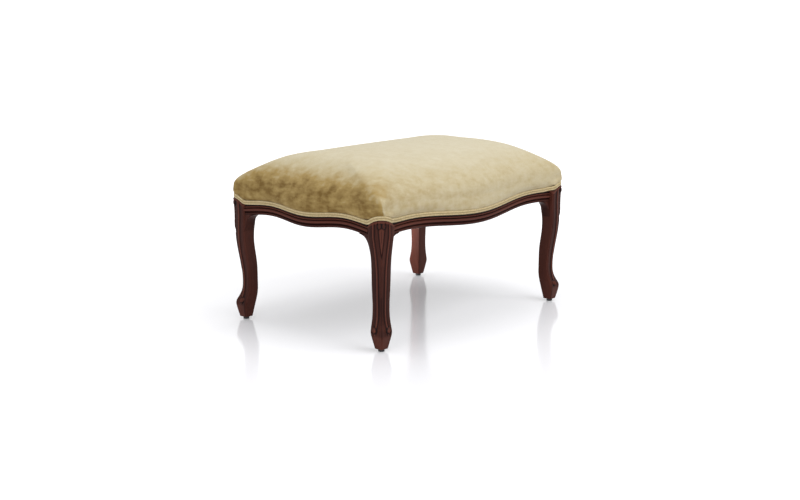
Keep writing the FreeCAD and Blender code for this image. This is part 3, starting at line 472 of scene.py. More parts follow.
# Carved cabriole legs: stations of height, setback from the knee's faces, side of the square,
# rounding of the outer corner and place of the listel, a little stouter than the CAD model's
STATIONS = np.array([
    (44, 1.1, 38.2, 3, 22.4),
    (66, 10.2, 32.3, 6, 14.7),
    (95, 13.7, 29.4, 6, 12.2),
    (140, 10.9, 31.5, 6, 12.9),
    (185, 5.7, 33, 6, 14.5),
    (216, 3.4, 35.2, 7, 17.8),
    (240, 1.9, 38.9, 10, 21.6),
    (264, 0.6, 42.2, 14, 25.5),
    (288, 0, 43, 14, 25.5),
    (320, 0, 43, 14, 25.5),
])
SOLE = np.array((GLIDE_HEIGHT, 9.8, 23, 3, 11.5))
TOE_HEIGHT = STATIONS[0, 0]
TOE_ROUND = 4
TOE_EASED = (1, -1, 0, 0)


def spline_through(xs, ys):
    """Natural cubic spline through points, as a function."""
    count = len(xs)
    gaps = np.diff(xs)
    matrix = np.eye(count)
    for row in range(1, count - 1):
        matrix[row, row - 1:row + 2] = (gaps[row - 1], 2 * (gaps[row - 1] + gaps[row]), gaps[row])
    right = np.pad(6 * np.diff(np.diff(ys) / gaps), 1)
    bends = np.linalg.solve(matrix, right)

    def value(x):
        span = int(np.clip(np.searchsorted(xs, x) - 1, 0, count - 2))
        gap = gaps[span]
        a = (xs[span + 1] - x) / gap
        b = (x - xs[span]) / gap
        curve = ((a ** 3 - a) * bends[span] + (b ** 3 - b) * bends[span + 1]) * gap * gap / 6
        return a * ys[span] + b * ys[span + 1] + curve

    return value


LEG_CURVES = [spline_through(STATIONS[:, 0], STATIONS[:, column]) for column in range(1, 5)]
TOE_SLOPE = np.array([curve(TOE_HEIGHT + 1) for curve in LEG_CURVES]) - STATIONS[0, 1:]


def leg_sizes(height):
    """Setback, side, corner rounding and listel place of the leg at a height, rounded over at the toe."""
    share = (height - SOLE[0]) / (TOE_HEIGHT - SOLE[0])
    foot = SOLE[1:] + (STATIONS[0, 1:] - SOLE[1:]) * share
    if height < TOE_HEIGHT:
        shank = STATIONS[0, 1:] + TOE_SLOPE * (height - TOE_HEIGHT)
        sizes = foot
    else:
        shank = np.array([curve(height) for curve in LEG_CURVES])
        sizes = shank
    apart = np.abs(shank - foot)
    eased = (np.hypot(apart, TOE_ROUND) - apart) / 2
    return sizes + eased * TOE_EASED


CORNER_STEPS = 12
FACE_STEPS = 52
ROUND_STEPS = 7
BACK_STEPS = 10
ARRIS_NORMAL = (0.4, 0.92)


def arc(centre, radius, start, end, steps):
    """Points of an arc between two angles in degrees, its end left out, and their outward directions."""
    angles = np.radians(np.linspace(start, end, steps, endpoint=False))
    normals = np.column_stack([np.cos(angles), np.sin(angles)])
    return np.array(centre) + radius * normals, normals


def straight(x, y, normal):
    """Points of a straight line, and their outward directions."""
    points = np.column_stack(np.broadcast_arrays(x, y))
    return points, np.tile(normal, (len(points), 1))


def half_section(height):
    """Half of a leg's section, from the outer corner's middle to the inner corner.

    Gives points inward from the knee's two outer faces, the outward direction of each, its distance
    along the surface from the corner's middle, and its distance along the face.
    """
    setback, side, corner, _ = leg_sizes(height)
    near = setback + corner
    far = setback + side
    face = np.linspace(near, far - SIDE_ROUND, FACE_STEPS, endpoint=False)
    back = np.linspace(setback + SIDE_ROUND, far - ARRIS, BACK_STEPS + 1)
    parts = [
        arc((near, near), corner, 225, 180, CORNER_STEPS),
        straight(setback, face, (-1, 0)),
        arc((setback + SIDE_ROUND, far - SIDE_ROUND), SIDE_ROUND, 180, 90, ROUND_STEPS),
        straight(back, far, (0, 1)),
    ]
    points, normals = (np.vstack(group).astype(float) for group in zip(*parts))
    normals[-1] = ARRIS_NORMAL
    return points, normals, lengths_along(points), points[:, 1] - setback


# Carving of the legs: half widths, places and heights in millimetres; pairs are where a form
# starts and where it is full, or how far off and how wide it is
LISTEL_HALF = 2.2
LISTEL_PROUD = 1.9
LISTEL_CREST = 0.7
LISTEL_FADE = (36, 44)
LISTEL_GROOVE = (3.2, 1.2)
LISTEL_SHADE = (4.2, 9.2)
LISTEL_FRONT = 3 * LISTEL_HALF
FRONT_EASE = 2
HOLLOW_DEPTH = 1.5
TONGUE_TOP = 286
TONGUE_TIP = 220
TONGUE_HALF = 9.5
TONGUE_MOST = 1.05
TONGUE_SPREAD = 0.8
TONGUE_EDGE = (0.6, 1.4)
TONGUE_EDGE_FADE = (210, 220)
TONGUE_CROWN_FADE = (220, 228)
VEIN_WIDTH = 0.9
VEIN_START = (242, 254)
VEIN_END = (282, 274)
LOBE_PLACE = 6.3
LOBE_HALF = 5.4
LOBE_HEIGHT = 288.5
LOBE_TALL = 6.8
LOBE_RIM = (1.16, 0.22)
LOBE_SHADE_HEIGHT = (279.5, 285.5)
LOBE_SHADE_RUN = (15, 11)
CENTRE_GROOVE = (36, 116)
CENTRE_FADE = 14
CENTRE_WIDTH = 1.5
SCROLL_HEIGHT = 49.8
SCROLL_PLACE = 22.8
SCROLL_RADIUS = 5.8
SCROLL_EDGE = 0.8
SCROLL_PROUD = 2.6
SCROLL_EYE = (1.9, 0.7)
SPIRAL_START = 1.1
SPIRAL_PITCH = 2.6
SPIRAL_WIDTH = 0.5
SPIRAL_FADE = (0.6, 1.2)
MOAT = (1.2, 1.4)
FOOT_FADE = (41, 33)


def carving(height, runs, place):
    """Carved relief of the leg, outward in millimetres, and the painted wear and highlight and the painted
    shade of each point.
    """
    _, _, corner, listel = leg_sizes(height)
    layers = {name: np.zeros_like(runs) for name in ("relief", "worn", "hollow")}

    def carve(share, **amounts):
        for name, amount in amounts.items():
            layers[name] += amount * share

    # Listel with a groove on each side of it, running into the scroll; painted wear and highlight on the
    # listel, painted shade in the grooves and on the face beyond it
    on_face = place > corner / 2
    low_fade = rise(height, *LISTEL_FADE)
    on_listel = low_fade * on_face
    from_listel = place - listel
    raised = np.clip(1 - (from_listel / LISTEL_HALF) ** 2, 0, 1) ** LISTEL_CREST
    carve(raised * on_listel, relief=LISTEL_PROUD, worn=0.75)
    for side in (-1, 1):
        groove = bump(from_listel - side * LISTEL_GROOVE[0], LISTEL_GROOVE[1])
        carve(groove * on_listel, relief=-0.9, hollow=0.95)
    carve(rise(from_listel, *LISTEL_SHADE) * on_listel, hollow=0.9)
    valley = np.clip(place / (listel - LISTEL_HALF), 0, 1)
    carve(4 * valley * (1 - valley) * low_fade, relief=-HOLLOW_DEPTH)

    # Tongue on the knee: a dart with a raised middle, grooved round its edge; painted shade in the groove
    # and the vein, painted wear and highlight on the middle
    spread = np.clip((height - TONGUE_TIP) / (TONGUE_TOP - TONGUE_TIP), 0, TONGUE_MOST)
    half = TONGUE_HALF * spread ** TONGUE_SPREAD
    edge = bump(runs - half - TONGUE_EDGE[0], TONGUE_EDGE[1])
    carve(edge * rise(height, *TONGUE_EDGE_FADE), relief=-1.9, hollow=1)
    crown = np.clip(1 - (runs / max(half, TONGUE_EDGE[0])) ** 2, 0, 1)
    carve(crown * rise(height, *TONGUE_CROWN_FADE), relief=0.9, worn=0.5)
    vein = bump(runs, VEIN_WIDTH) * rise(height, *VEIN_START) * rise(height, *VEIN_END)
    carve(vein, relief=-0.8, hollow=0.75)

    # Two rounded lobes under the knee's arched top, painted lighter on their domes, with painted shade in
    # the groove round each and over the zone between them
    lobe = np.hypot((runs - LOBE_PLACE) / LOBE_HALF, (height - LOBE_HEIGHT) / LOBE_TALL)
    carve(np.sqrt(np.clip(1 - lobe ** 2, 0, 1)), relief=2.2, hollow=-0.45)
    carve(rise(height, *LOBE_SHADE_HEIGHT) * rise(runs, *LOBE_SHADE_RUN), hollow=0.75)
    carve(bump(lobe - LOBE_RIM[0], LOBE_RIM[1]), relief=-1.2, hollow=0.6)

    # Shallow groove down the outer corner, low on the leg, with painted shade in it
    groove = bump(runs, CENTRE_WIDTH) * window(height, *CENTRE_GROOVE, CENTRE_FADE)
    carve(groove, relief=-0.9, hollow=0.55)

    # Scroll at the foot: a rolled disc with a spiral cut, an eye and a groove round it; painted wear and
    # highlight on the disc, painted shade in the cut, the eye and the groove
    across = place - SCROLL_PLACE
    up = height - SCROLL_HEIGHT
    radius = np.hypot(across, up)
    turn = (np.arctan2(up, -across) + math.pi) / (2 * math.pi)
    disc = rise(radius, SCROLL_RADIUS + SCROLL_EDGE, SCROLL_RADIUS - SCROLL_EDGE) * on_face
    layers["hollow"] *= 1 - disc
    carve(disc, relief=SCROLL_PROUD, worn=0.7)
    spiral = radius - SPIRAL_START - SPIRAL_PITCH * turn
    cut = bump(np.minimum(np.abs(spiral), np.abs(spiral - SPIRAL_PITCH)), SPIRAL_WIDTH)
    carve(cut * disc * rise(radius, *SPIRAL_FADE), relief=-0.9, hollow=0.6)
    carve(bump(radius - SCROLL_RADIUS - MOAT[0], MOAT[1]) * on_face, relief=-1.1, hollow=1)
    carve(rise(radius, *SCROLL_EYE) * on_face, relief=-0.8, hollow=0.5)

    # Plain facets of the foot, painted a redder, lighter tone
    carve(rise(height, *FOOT_FADE), worn=0.36)
    front = window(place, 0, listel + LISTEL_FRONT, FRONT_EASE)
    tones = (np.clip(layers[name] * front, 0, 1) for name in ("worn", "hollow"))
    return layers["relief"] * front, *tones


def knee_arch(x, y):
    """Height of a knee's arched top at a place along its two sides."""
    across = (x - y) / math.sqrt(2)
    return CREST_HEIGHT - CREST_RADIUS + np.sqrt(np.maximum(CREST_RADIUS ** 2 - across ** 2, 0))


RIM_SHARES = (0.9, 0.97)
RIM_EASE = 0.03
RIM_PROUD = 0.9
# Painted wear and highlight along the knee arch's rim
RIM_WEAR_AND_PAINTED_LIGHT = 0.55
EDGE_FROM = 0.93
EDGE_SINK = 0.7
TOP_SINK = 0.6
# Painted light on the leg's inner faces
INNER_PAINTED_LIGHT = 0.25
FOOT_ROWS = 22
SHANK_ROWS = 118
KNEE_ROWS = 40
KNEE_START = 252
CAP_SHARES = (0.985, 0.95, 0.85, 0.6, 0.3, 0.04)
CAP_ROUND = (0.25, 0.9, 1.0, 1.0, 1.0, 1.0)


def both_halves(half, mirrored):
    """Closed ring of points or values from half a section and its mirror image."""
    return np.concatenate([half, mirrored[-1:], mirrored[1:-1][::-1]])


def leg_cap(ring, on_top):
    """Rings that close an end of the leg: its flat sole or its arched top."""
    middle = ring[:, :2].mean(axis=0)
    rings = []
    for share, rounding in zip(CAP_SHARES, CAP_ROUND):
        inner = ring.copy()
        inner[:, :2] = middle + (ring[:, :2] - middle) * share
        if on_top:
            inner[:, 2] = knee_arch(inner[:, 0], inner[:, 1]) - TOP_SINK * (1 - rounding)
        rings.append(inner)
    return rings


def leg_mesh():
    """Points of a leg, inward from the knee's outer faces, its faces, and its painted wear and highlight
    and its painted shade.
    """
    foot = np.linspace(GLIDE_HEIGHT, TOE_HEIGHT, FOOT_ROWS, endpoint=False)
    shank = np.linspace(TOE_HEIGHT, KNEE_START, SHANK_ROWS, endpoint=False)
    knee = np.linspace(KNEE_START, CREST_HEIGHT, KNEE_ROWS)
    points = []
    tones = []
    for height in (*foot, *shank, *knee):
        plan, normals, runs, place = half_section(height)
        relief, worn, hollow = carving(height, runs, place)
        # Painted light on the leg's inner faces
        inner_face = place > leg_sizes(height)[1] - ARRIS
        worn = np.maximum(worn, INNER_PAINTED_LIGHT * inner_face)
        level = np.full(len(plan), height)
        share = (height - KNEE_START) / (CREST_HEIGHT - KNEE_START)
        if share >= 0:
            top = knee_arch(plan[:, 0], plan[:, 1]) - TOP_SINK
            level = KNEE_START + (top - KNEE_START) * share
            # Painted wear and highlight along the rim of the knee's arch, with no painted shade there
            arch_rim = window(share, *RIM_SHARES, RIM_EASE)
            relief = relief + RIM_PROUD * arch_rim * (plan[:, 0] < KNEE_SIZE)
            worn = np.maximum(worn, RIM_WEAR_AND_PAINTED_LIGHT * arch_rim)
            hollow = hollow * (1 - arch_rim)
            edge_round = rise(share, EDGE_FROM, 1)
            relief = relief * (1 - edge_round) - EDGE_SINK * edge_round ** 2
        half = np.column_stack([plan + normals * relief[:, None], level])
        points.append(both_halves(half, half[:, [1, 0, 2]]))
        tone = np.column_stack([worn, hollow])
        tones.append(both_halves(tone, tone))
    rings = leg_cap(points[0], False)[::-1] + points + leg_cap(points[-1], True)
    plain = [np.zeros_like(tones[0])] * len(CAP_SHARES)
    faces = [face[::-1] for face in tube_faces(rings)]
    return np.vstack(rings), faces, *np.vstack(plain + tones + plain).T


leg_points, leg_faces, leg_worn, leg_hollow = leg_mesh()
for corner_name, (side_x, side_y) in CORNERS.items():
    placed = ((HALF_LENGTH, HALF_WIDTH, 0) - leg_points * (1, 1, -1)) * (side_x, side_y, 1)
    turned = side_x * side_y < 0
    piece_faces = [face[::-1] for face in leg_faces] if turned else leg_faces
    leg = new_object(f"carved_leg_{corner_name}", placed, piece_faces, LEG_WOOD)
    add_attribute(leg, "worn", leg_worn)
    add_attribute(leg, "hollow", leg_hollow)
    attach(leg, BODY)
    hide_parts(f"leg_{corner_name}")


# Plan lines that the rails, the seat and the welt share
def notch(side):
    """Distance from mid rail to the inner face of a knee."""
    return SIDES[side]["half"] - KNEE_SIZE


def serpentine(distance, side):
    """Wave of a rail, 1 at its middle, 0 where it turns."""
    return (1 + np.cos(math.pi * np.abs(distance) / notch(side) / SIDES[side]["turn"])) / 2


def rail_face(distance, side):
    """Plan line of a rail's face, from the middle of the bench."""
    sizes = SIDES[side]
    return sizes["face"] - sizes["recess"] + sizes["bow"] * serpentine(distance, side)


def show_edge(distance, side):
    """Height of a rail's upper edge."""
    return SIDES[side]["edge"] - SIDES[side]["dip"] * serpentine(distance, side)


def side_line(distance, side, fullness=1, drawn=0, ease=KNEE_EASE):
    """Plan line of the seat: fullness 1 follows rail and knee, drawn 1 runs taut from knee to knee."""
    sizes = SIDES[side]
    rail = rail_face(distance, side)
    on_knee = rise(np.abs(distance), notch(side) - ease, notch(side) + ease)
    fitted = rail + (sizes["face"] - rail) * on_knee
    arch = 1 - (distance / sizes["half"]) ** 2
    plain = sizes["face"] - sizes["recess"] + sizes["bow"] * arch
    taut = sizes["face"] + (sizes["bow"] - sizes["recess"]) * arch
    soft = plain + (taut - plain) * drawn
    return fullness * fitted + (1 - fullness) * soft


def inset_line(distance, side, inset, slanting=False, **line):
    """Plan line of the seat moved inward, slanting if the inset is square to the line."""
    stretch = 1
    if slanting:
        climb = side_line(distance + KNEE_EASE, side) - side_line(distance - KNEE_EASE, side)
        stretch = np.hypot(1, climb / (2 * KNEE_EASE))
    return side_line(distance, side, **line) - inset[side] * stretch


def side_shares(turn, coarse, fine):
    """Shares of a side from its middle towards its corner, closer together past the turn."""
    middle = np.linspace(0, turn, coarse, endpoint=False)
    return np.concatenate([middle, np.linspace(turn, 1, fine, endpoint=False)])


LONG_SHARES = side_shares(turn=0.84, coarse=42, fine=30)
SHORT_SHARES = side_shares(turn=0.8, coarse=30, fine=28)
CORNER_SHARES = np.linspace(0, 1, 41)
SETTLE_ROUNDS = 6


def quarter_outline(inset, radius, **line):
    """Front right quarter of the seat's outline in plan, from mid front to mid right side."""
    reach_x = SIDES["long"]["half"] - radius
    reach_y = SIDES["short"]["half"] - radius
    for _ in range(SETTLE_ROUNDS):
        far_y = inset_line(reach_x, "long", inset, **line)
        far_x = inset_line(reach_y, "short", inset, **line)
        reach_x = far_x - radius
        reach_y = far_y - radius
    x = LONG_SHARES * reach_x
    front = np.column_stack([x, -inset_line(x, "long", inset, **line)])
    angle = np.radians(-90 + 90 * CORNER_SHARES)
    corner = np.column_stack([reach_x + radius * np.cos(angle), -reach_y + radius * np.sin(angle)])
    y = SHORT_SHARES[::-1] * reach_y
    right = np.column_stack([inset_line(y, "short", inset, **line), -y])
    return np.vstack([front, corner, right])


def whole_ring(quarter, across=1, along=1):
    """Closed ring from a front right quarter and its images, anticlockwise from mid front."""
    right = np.concatenate([quarter, (quarter * across)[::-1][1:]])
    return np.concatenate([right, (right * along)[::-1][1:-1]])


def outline(inset, radius, **line):
    """Seat outline all round, as points in plan."""
    return whole_ring(quarter_outline(inset, radius, **line), np.array((1, -1)), np.array((-1, 1)))


def even(inset):
    return {"long": inset, "short": inset}


def welt_height(plan):
    """Height of the show-wood under the welt at points in plan."""
    past_x = np.abs(plan[:, 0]) - notch("long")
    past_y = np.abs(plan[:, 1]) - notch("short")
    long_step = knee_arch(0, past_y) - show_edge(notch("long"), "long")
    on_long = show_edge(plan[:, 0], "long") + long_step * np.exp(np.minimum(past_x, 0) / KNEE_EASE)
    short_step = knee_arch(past_x, 0) - show_edge(notch("short"), "short")
    on_short = show_edge(plan[:, 1], "short") + short_step * np.exp(np.minimum(past_y, 0) / KNEE_EASE)
    along_rail = np.where(past_y > 0, on_long, on_short)
    return np.where((past_x > 0) & (past_y > 0), knee_arch(past_x, past_y), along_rail)


# Moulded rails: depth behind the face line, drop below the upper edge, painted wear and highlight, and
# painted shade
# Painted shade where a bead meets the quirks beside it
BEAD_PAINTED_SHADE = 0.4


def bead(base, start, end, swell, worn, steps):
    """Points of a rounded moulding, with painted wear and highlight on its crest and painted shade at its
    ends.
    """
    points = []
    for share in np.linspace(0, 1, steps):
        lift = math.sin(math.pi * share)
        drop = start + (end - start) * share
        points.append((base - swell * lift, drop, worn * lift ** 2, BEAD_PAINTED_SHADE * (1 - lift)))
    return points


REBATE = 11
SHOW_HEIGHT = 24.3
RAIL_PROFILE = np.array(
    [(REBATE, 0, 0, 0.6), (3.2, 0, 0, 0.8), (2.5, 0.6, 0, 0.7), (2.6, 2.8, 0, 1)]
    + bead(base=2.4, start=3.0, end=6.4, swell=2.4, worn=0.85, steps=9)
    + [(3.6, 6.9, 0, 1)]
    + bead(base=2.4, start=7.5, end=16, swell=3.9, worn=0.6, steps=17)
    + [(4.5, 17.4, 0, 1)]
    + bead(base=2.6, start=18.4, end=23.8, swell=1.5, worn=0, steps=7)
    + [(3.6, SHOW_HEIGHT, 0, 0.6)]
)
RAIL_STATIONS = 97
RAIL_TOP = 328
DUST_LEDGE = 9
DUST_HEIGHT = 270
PLACES = {
    "front": ("long", -1),
    "back": ("long", 1),
    "left": ("short", -1),
    "right": ("short", 1),
}


def make_rail(place):
    side, sign = PLACES[place]
    back = SIDES[side]["face"] - KNEE_SIZE
    rings = []
    for along in np.linspace(-notch(side), notch(side), RAIL_STATIONS):
        face = rail_face(along, side)
        edge = show_edge(along, side)
        inside = [
            (back + DUST_LEDGE, edge - SHOW_HEIGHT),
            (back + DUST_LEDGE, DUST_HEIGHT),
            (back, DUST_HEIGHT),
            (back, RAIL_TOP),
            (face - REBATE, RAIL_TOP),
        ]
        moulding = np.column_stack([face - RAIL_PROFILE[:, 0], edge - RAIL_PROFILE[:, 1]])
        section = np.vstack([moulding, inside])
        ring = np.column_stack([np.full(len(section), along), sign * section[:, 0], section[:, 1]])
        rings.append(ring[:, SIDES[side]["axes"]])
    rail = lofted(f"moulded_rail_{place}", rings, RAIL_WOOD[side])
    unseen = len(rings[0]) - len(RAIL_PROFILE)
    # Painted wear and highlight, and painted shade, along the moulding
    for name, column in (("worn", 2), ("hollow", 3)):
        add_attribute(rail, name, np.tile(np.pad(RAIL_PROFILE[:, column], (0, unseen)), RAIL_STATIONS))
    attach(rail, BODY)
    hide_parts(f"rail_{place}")


for rail_place in PLACES:
    make_rail(rail_place)

# Knee brackets that sweep from the leg into the rail's lower edge
BRACKET_REACH = 30
BRACKET_DROP = 25
BRACKET_LEAST = 1
BRACKET_OVERLAP = 0.5
BRACKET_SWEEP = 9
BRACKET_ROUND = 2
BRACKET_BEVEL = 0.3
BRACKET_SINK = 8
BRACKET_STEPS = 34
BRACKET_OUTER = {"long": 13.5, "short": 5}
BRACKET_INNER = KNEE_SIZE - DUST_LEDGE


def make_bracket(corner_name, side):
    side_x, side_y = CORNERS[corner_name]
    outer = BRACKET_OUTER[side]
    inner = BRACKET_INNER
    tail = math.exp(-BRACKET_REACH / BRACKET_SWEEP)
    rings = []
    for along in np.linspace(-BRACKET_SINK, BRACKET_REACH, BRACKET_STEPS):
        top = show_edge(notch(side) - max(along, 0), side) - SHOW_HEIGHT + BRACKET_OVERLAP
        drop = BRACKET_DROP * (math.exp(-along / BRACKET_SWEEP) - tail) / (1 - tail)
        low = top - BRACKET_LEAST - drop
        rounding = min(BRACKET_ROUND, (top - low) / 2)
        bevel = BRACKET_BEVEL * rounding
        edge = [(0, top), (0, low + rounding), (bevel, low + bevel), (rounding, low)]
        section = np.array([(outer + x, z) for x, z in edge] + [(inner - x, z) for x, z in edge[::-1]])
        reach = np.full(len(section), notch(side) - along)
        ring = np.column_stack([reach, SIDES[side]["face"] - section[:, 0], section[:, 1]])
        rings.append(ring[:, SIDES[side]["axes"]] * (side_x, side_y, 1))
    bracket = lofted(f"swept_{side}_bracket_{corner_name}", rings, BRACKET_WOOD)
    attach(bracket, BODY)
    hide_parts(f"{side}_bracket_{corner_name}")


for bracket_corner in CORNERS:
    for bracket_side in SIDES:
        make_bracket(bracket_corner, bracket_side)

# Velvet seat: tuck behind the welt, swelling side, domed crown
TUCK_ROWS = 16
CROWN_ROWS = 46
CROWN_SPACING = 0.9
CAP_ROWS = 12
TUCK_BELOW = 1
WELT_CLEAR = 0.15
WELT_MEET = 1.4
SWELL_RISE = 9
SWELL_FULLNESS = 0.5
SWELL_EASE = 44
FITTED_UNTIL = 36
DRAWN_UNTIL = 46
ROUND_FROM = 93
ROUND_SHARE = 0.52
CROWN_RISE = 0.8
CORNER_LIFT = 10
CORNER_SWELL = 0.8
CORNER_SPAN = 68
FILL_ROOM = 5.6

TUCK_PLAN = outline(even(TUCK_DEPTH), CORNER_RADIUS, slanting=True)
WELT_LEVEL = welt_height(TUCK_PLAN) + WELT_MIDDLE
WELT_TOP = WELT_LEVEL + WELT_CORD / 2 * (1 + WELT_WAIST) + WELT_CLEAR
CORNER_NEAR = np.prod(bump((HALF_LENGTH, HALF_WIDTH) - np.abs(TUCK_PLAN), CORNER_SPAN), axis=1)

# Distance round the seat from the middle of the nearest corner, below 0 along the long sides
QUARTER_RUNS = lengths_along(quarter_outline(even(TUCK_DEPTH), CORNER_RADIUS, slanting=True))
CORNER_MIDDLE = len(LONG_SHARES) + len(CORNER_SHARES) // 2
RUNS = whole_ring(QUARTER_RUNS - QUARTER_RUNS[CORNER_MIDDLE])

# Pleat at each corner: place of its foot, slant, heights above the welt, depth and lip
PLEAT_FOOT = -6
PLEAT_SLANT = 0.25
PLEAT_RISE = 34
PLEAT_FROM = (-2, 1)
PLEAT_UNTIL = (4, 38)
PLEAT_DEPTH = 1.8
PLEAT_WIDTH = 1.0
PLEAT_LIP = 1.0
LIP_PLACE = 2.4
LIP_WIDTH = 1.8


def pleated(ring):
    """Small tucked fold at each corner, dying out up the cushion."""
    above = ring[:, 2] - WELT_TOP
    fade = rise(above, *PLEAT_FROM) * (1 - rise(above, *PLEAT_UNTIL))
    from_fold = RUNS - PLEAT_FOOT - PLEAT_SLANT * above
    offset = PLEAT_LIP * bump(from_fold - LIP_PLACE, LIP_WIDTH) - PLEAT_DEPTH * bump(from_fold, PLEAT_WIDTH)
    return ring + level_outward(tangents(ring)) * (offset * fade)[:, None]


def seat_rings(top):
    """Rings of the cushion, from behind the welt up to the middle of the crown."""
    swell = SWELL_HEIGHT + CORNER_LIFT * CORNER_NEAR
    corner_push = np.sign(TUCK_PLAN) * (CORNER_SWELL * CORNER_NEAR)[:, None]
    meet = outline(even(WELT_MEET), CORNER_RADIUS, slanting=True)
    rings = [np.column_stack([TUCK_PLAN, WELT_LEVEL]), np.column_stack([TUCK_PLAN, WELT_TOP - TUCK_BELOW])]
    for share in np.linspace(0, 1, TUCK_ROWS + 1):
        height = WELT_TOP + (swell - WELT_TOP) * share
        out = 1 - (1 - np.clip((height - WELT_TOP) / SWELL_RISE, 0, 1)) ** 2
        fullness = 1 + (SWELL_FULLNESS - 1) * smooth(share)
        ease = KNEE_EASE + (SWELL_EASE - KNEE_EASE) * smooth(share)
        side = outline(even(-SIDE_SWELL), CORNER_RADIUS, fullness=fullness, drawn=1, ease=ease)
        plan = meet + (side + corner_push - meet) * out[:, None]
        rings.append(np.column_stack([plan, height]))
    widest = SIDES["long"]["face"] - SIDES["long"]["recess"] + SIDES["long"]["bow"]
    for row in range(1, CROWN_ROWS + 1):
        angle = 90 * (row / CROWN_ROWS) ** CROWN_SPACING
        turn = math.radians(angle)
        inward = 1 - math.cos(turn)
        inset = {name: -SIDE_SWELL + (run + SIDE_SWELL) * inward for name, run in CROWN.items()}
        narrow = widest - inset["long"]
        radius = CORNER_RADIUS + (ROUND_SHARE * narrow - CORNER_RADIUS) * smooth(angle / ROUND_FROM)
        fullness = SWELL_FULLNESS * (1 - smooth(angle / FITTED_UNTIL))
        drawn = 1 - smooth(angle / DRAWN_UNTIL)
        plan = outline(inset, radius, fullness=fullness, drawn=drawn, ease=SWELL_EASE)
        rings.append(np.column_stack([plan + corner_push * drawn, swell + (top - swell) * math.sin(turn)]))
    edge = rings[-1][:, :2]
    ridge = edge[:, 0].max() - edge[:, 1].max()
    middle = np.column_stack([np.clip(edge[:, 0], -ridge, ridge), np.zeros(len(edge))])
    for row in range(1, CAP_ROWS + 1):
        share = row / CAP_ROWS
        plan = edge + (middle - edge) * share
        rings.append(np.column_stack([plan, np.full(len(plan), top + CROWN_RISE * smooth(share))]))
    return rings


def shared_net(rings):
    """Points of stacked rings, shared where the last ring meets itself, and the grid of their numbers."""
    points = np.vstack(rings[:-1])
    last, numbers = np.unique(np.round(rings[-1], 3), axis=0, return_inverse=True)
    grid = np.arange(len(points)).reshape(len(rings) - 1, -1)
    grid = np.vstack([grid, len(points) + numbers.reshape(1, -1)])
    return np.vstack([points, last]), grid


def net_faces(grid):
    """Faces of a net of rings, and the one that closes its foot."""
    return grid_faces(grid) + [tuple(grid[0][::-1].tolist())]


# Cloth simulation of the cover on some rows and points; its shift is evened round the rings
CLOTH_ROWS = 30
CLOTH_SKIP = 4
CLOTH_HELD = 2
CLOTH_FRAMES = 20
CLOTH_CAP = 6
CLOTH_SETTINGS = {
    "quality": 6,
    "tension_stiffness": 40,
    "compression_stiffness": 40,
    "shear_stiffness": 12,
    "bending_stiffness": 2,
    "use_pressure": True,
    "uniform_pressure_force": 4,
}
SIDE_ROUNDS = 10
CROWN_ROUNDS = 60
EVEN_CROWN = (20, 32)
EVEN_TOP = (44, 56)


def settled(rings):
    """Rings after a cloth simulation: the cover, held at the welt, is filled out from inside."""
    rows = np.unique(np.linspace(0, len(rings) - 1, CLOTH_ROWS).round().astype(int))
    points, grid = shared_net([rings[row][::CLOTH_SKIP] for row in rows])
    cloth = new_object("cloth_net", points, net_faces(grid), VELVET)
    held = cloth.vertex_groups.new(name="held")
    held.add(grid[:CLOTH_HELD].ravel().tolist(), 1.0, "REPLACE")
    filler = cloth.modifiers.new("filler", "CLOTH")
    filler.point_cache.frame_start = 1
    filler.point_cache.frame_end = CLOTH_FRAMES
    for name, value in CLOTH_SETTINGS.items():
        setattr(filler.settings, name, value)
    filler.settings.vertex_group_mass = held.name
    filler.settings.effector_weights.gravity = 0
    for frame_number in range(1, CLOTH_FRAMES + 1):
        bpy.context.scene.frame_set(frame_number)
    shaped = cloth.evaluated_get(bpy.context.evaluated_depsgraph_get())
    moved = np.zeros(len(points) * 3)
    shaped.data.vertices.foreach_get("co", moved)
    moved = moved.reshape(-1, 3) / MM - points
    bpy.context.scene.frame_set(1)
    bpy.data.objects.remove(cloth)
    moved = unit(moved) * np.minimum(np.linalg.norm(moved, axis=1), CLOTH_CAP)[:, None]
    moved = moved[grid]
    side_shift = evened(moved, SIDE_ROUNDS, axis=1)
    crown_shift = evened(moved, CROWN_ROUNDS, axis=1)
    shift = side_shift + (crown_shift - side_shift) * rise(rows, *EVEN_CROWN)[:, None, None]
    lift = np.array([0, 0, moved[-1, :, 2].mean()])
    shift += (lift - shift) * rise(rows, *EVEN_TOP)[:, None, None]
    columns = np.arange(len(rings[0])) / CLOTH_SKIP
    coarse = np.arange(shift.shape[1] + 1)
    result = []
    for row, ring in enumerate(rings):
        below = np.clip(np.searchsorted(rows, row, side="right") - 1, 0, len(rows) - 2)
        share = (row - rows[below]) / (rows[below + 1] - rows[below])
        level = shift[below] * (1 - share) + shift[below + 1] * share
        level = np.vstack([level, level[:1]])
        result.append(ring + np.column_stack([np.interp(columns, coarse, axis) for axis in level.T]))
    return result


# Painted nap sheen and shade: tones of the top and painted shades of the sides, heights between which the
# sides turn into the top
NAP_TOP = 0.93
NAP_LONG_SHADE = 0.26
NAP_LEFT_SHADE = 0.68
NAP_RIGHT_SHADE = 0.4
NAP_SLOPE = 0.12
NAP_LONG_LEVELS = (352, 414)
NAP_END_LEVELS = (340, 414)
NAP_BROAD = 5
NAP_BROAD_SHARES = (0.15, 0.85)
NAP_LEAST_PULL = 1e-9
NAP_SHARP = 3
NAP_SHARP_UNTIL = (10, 50)


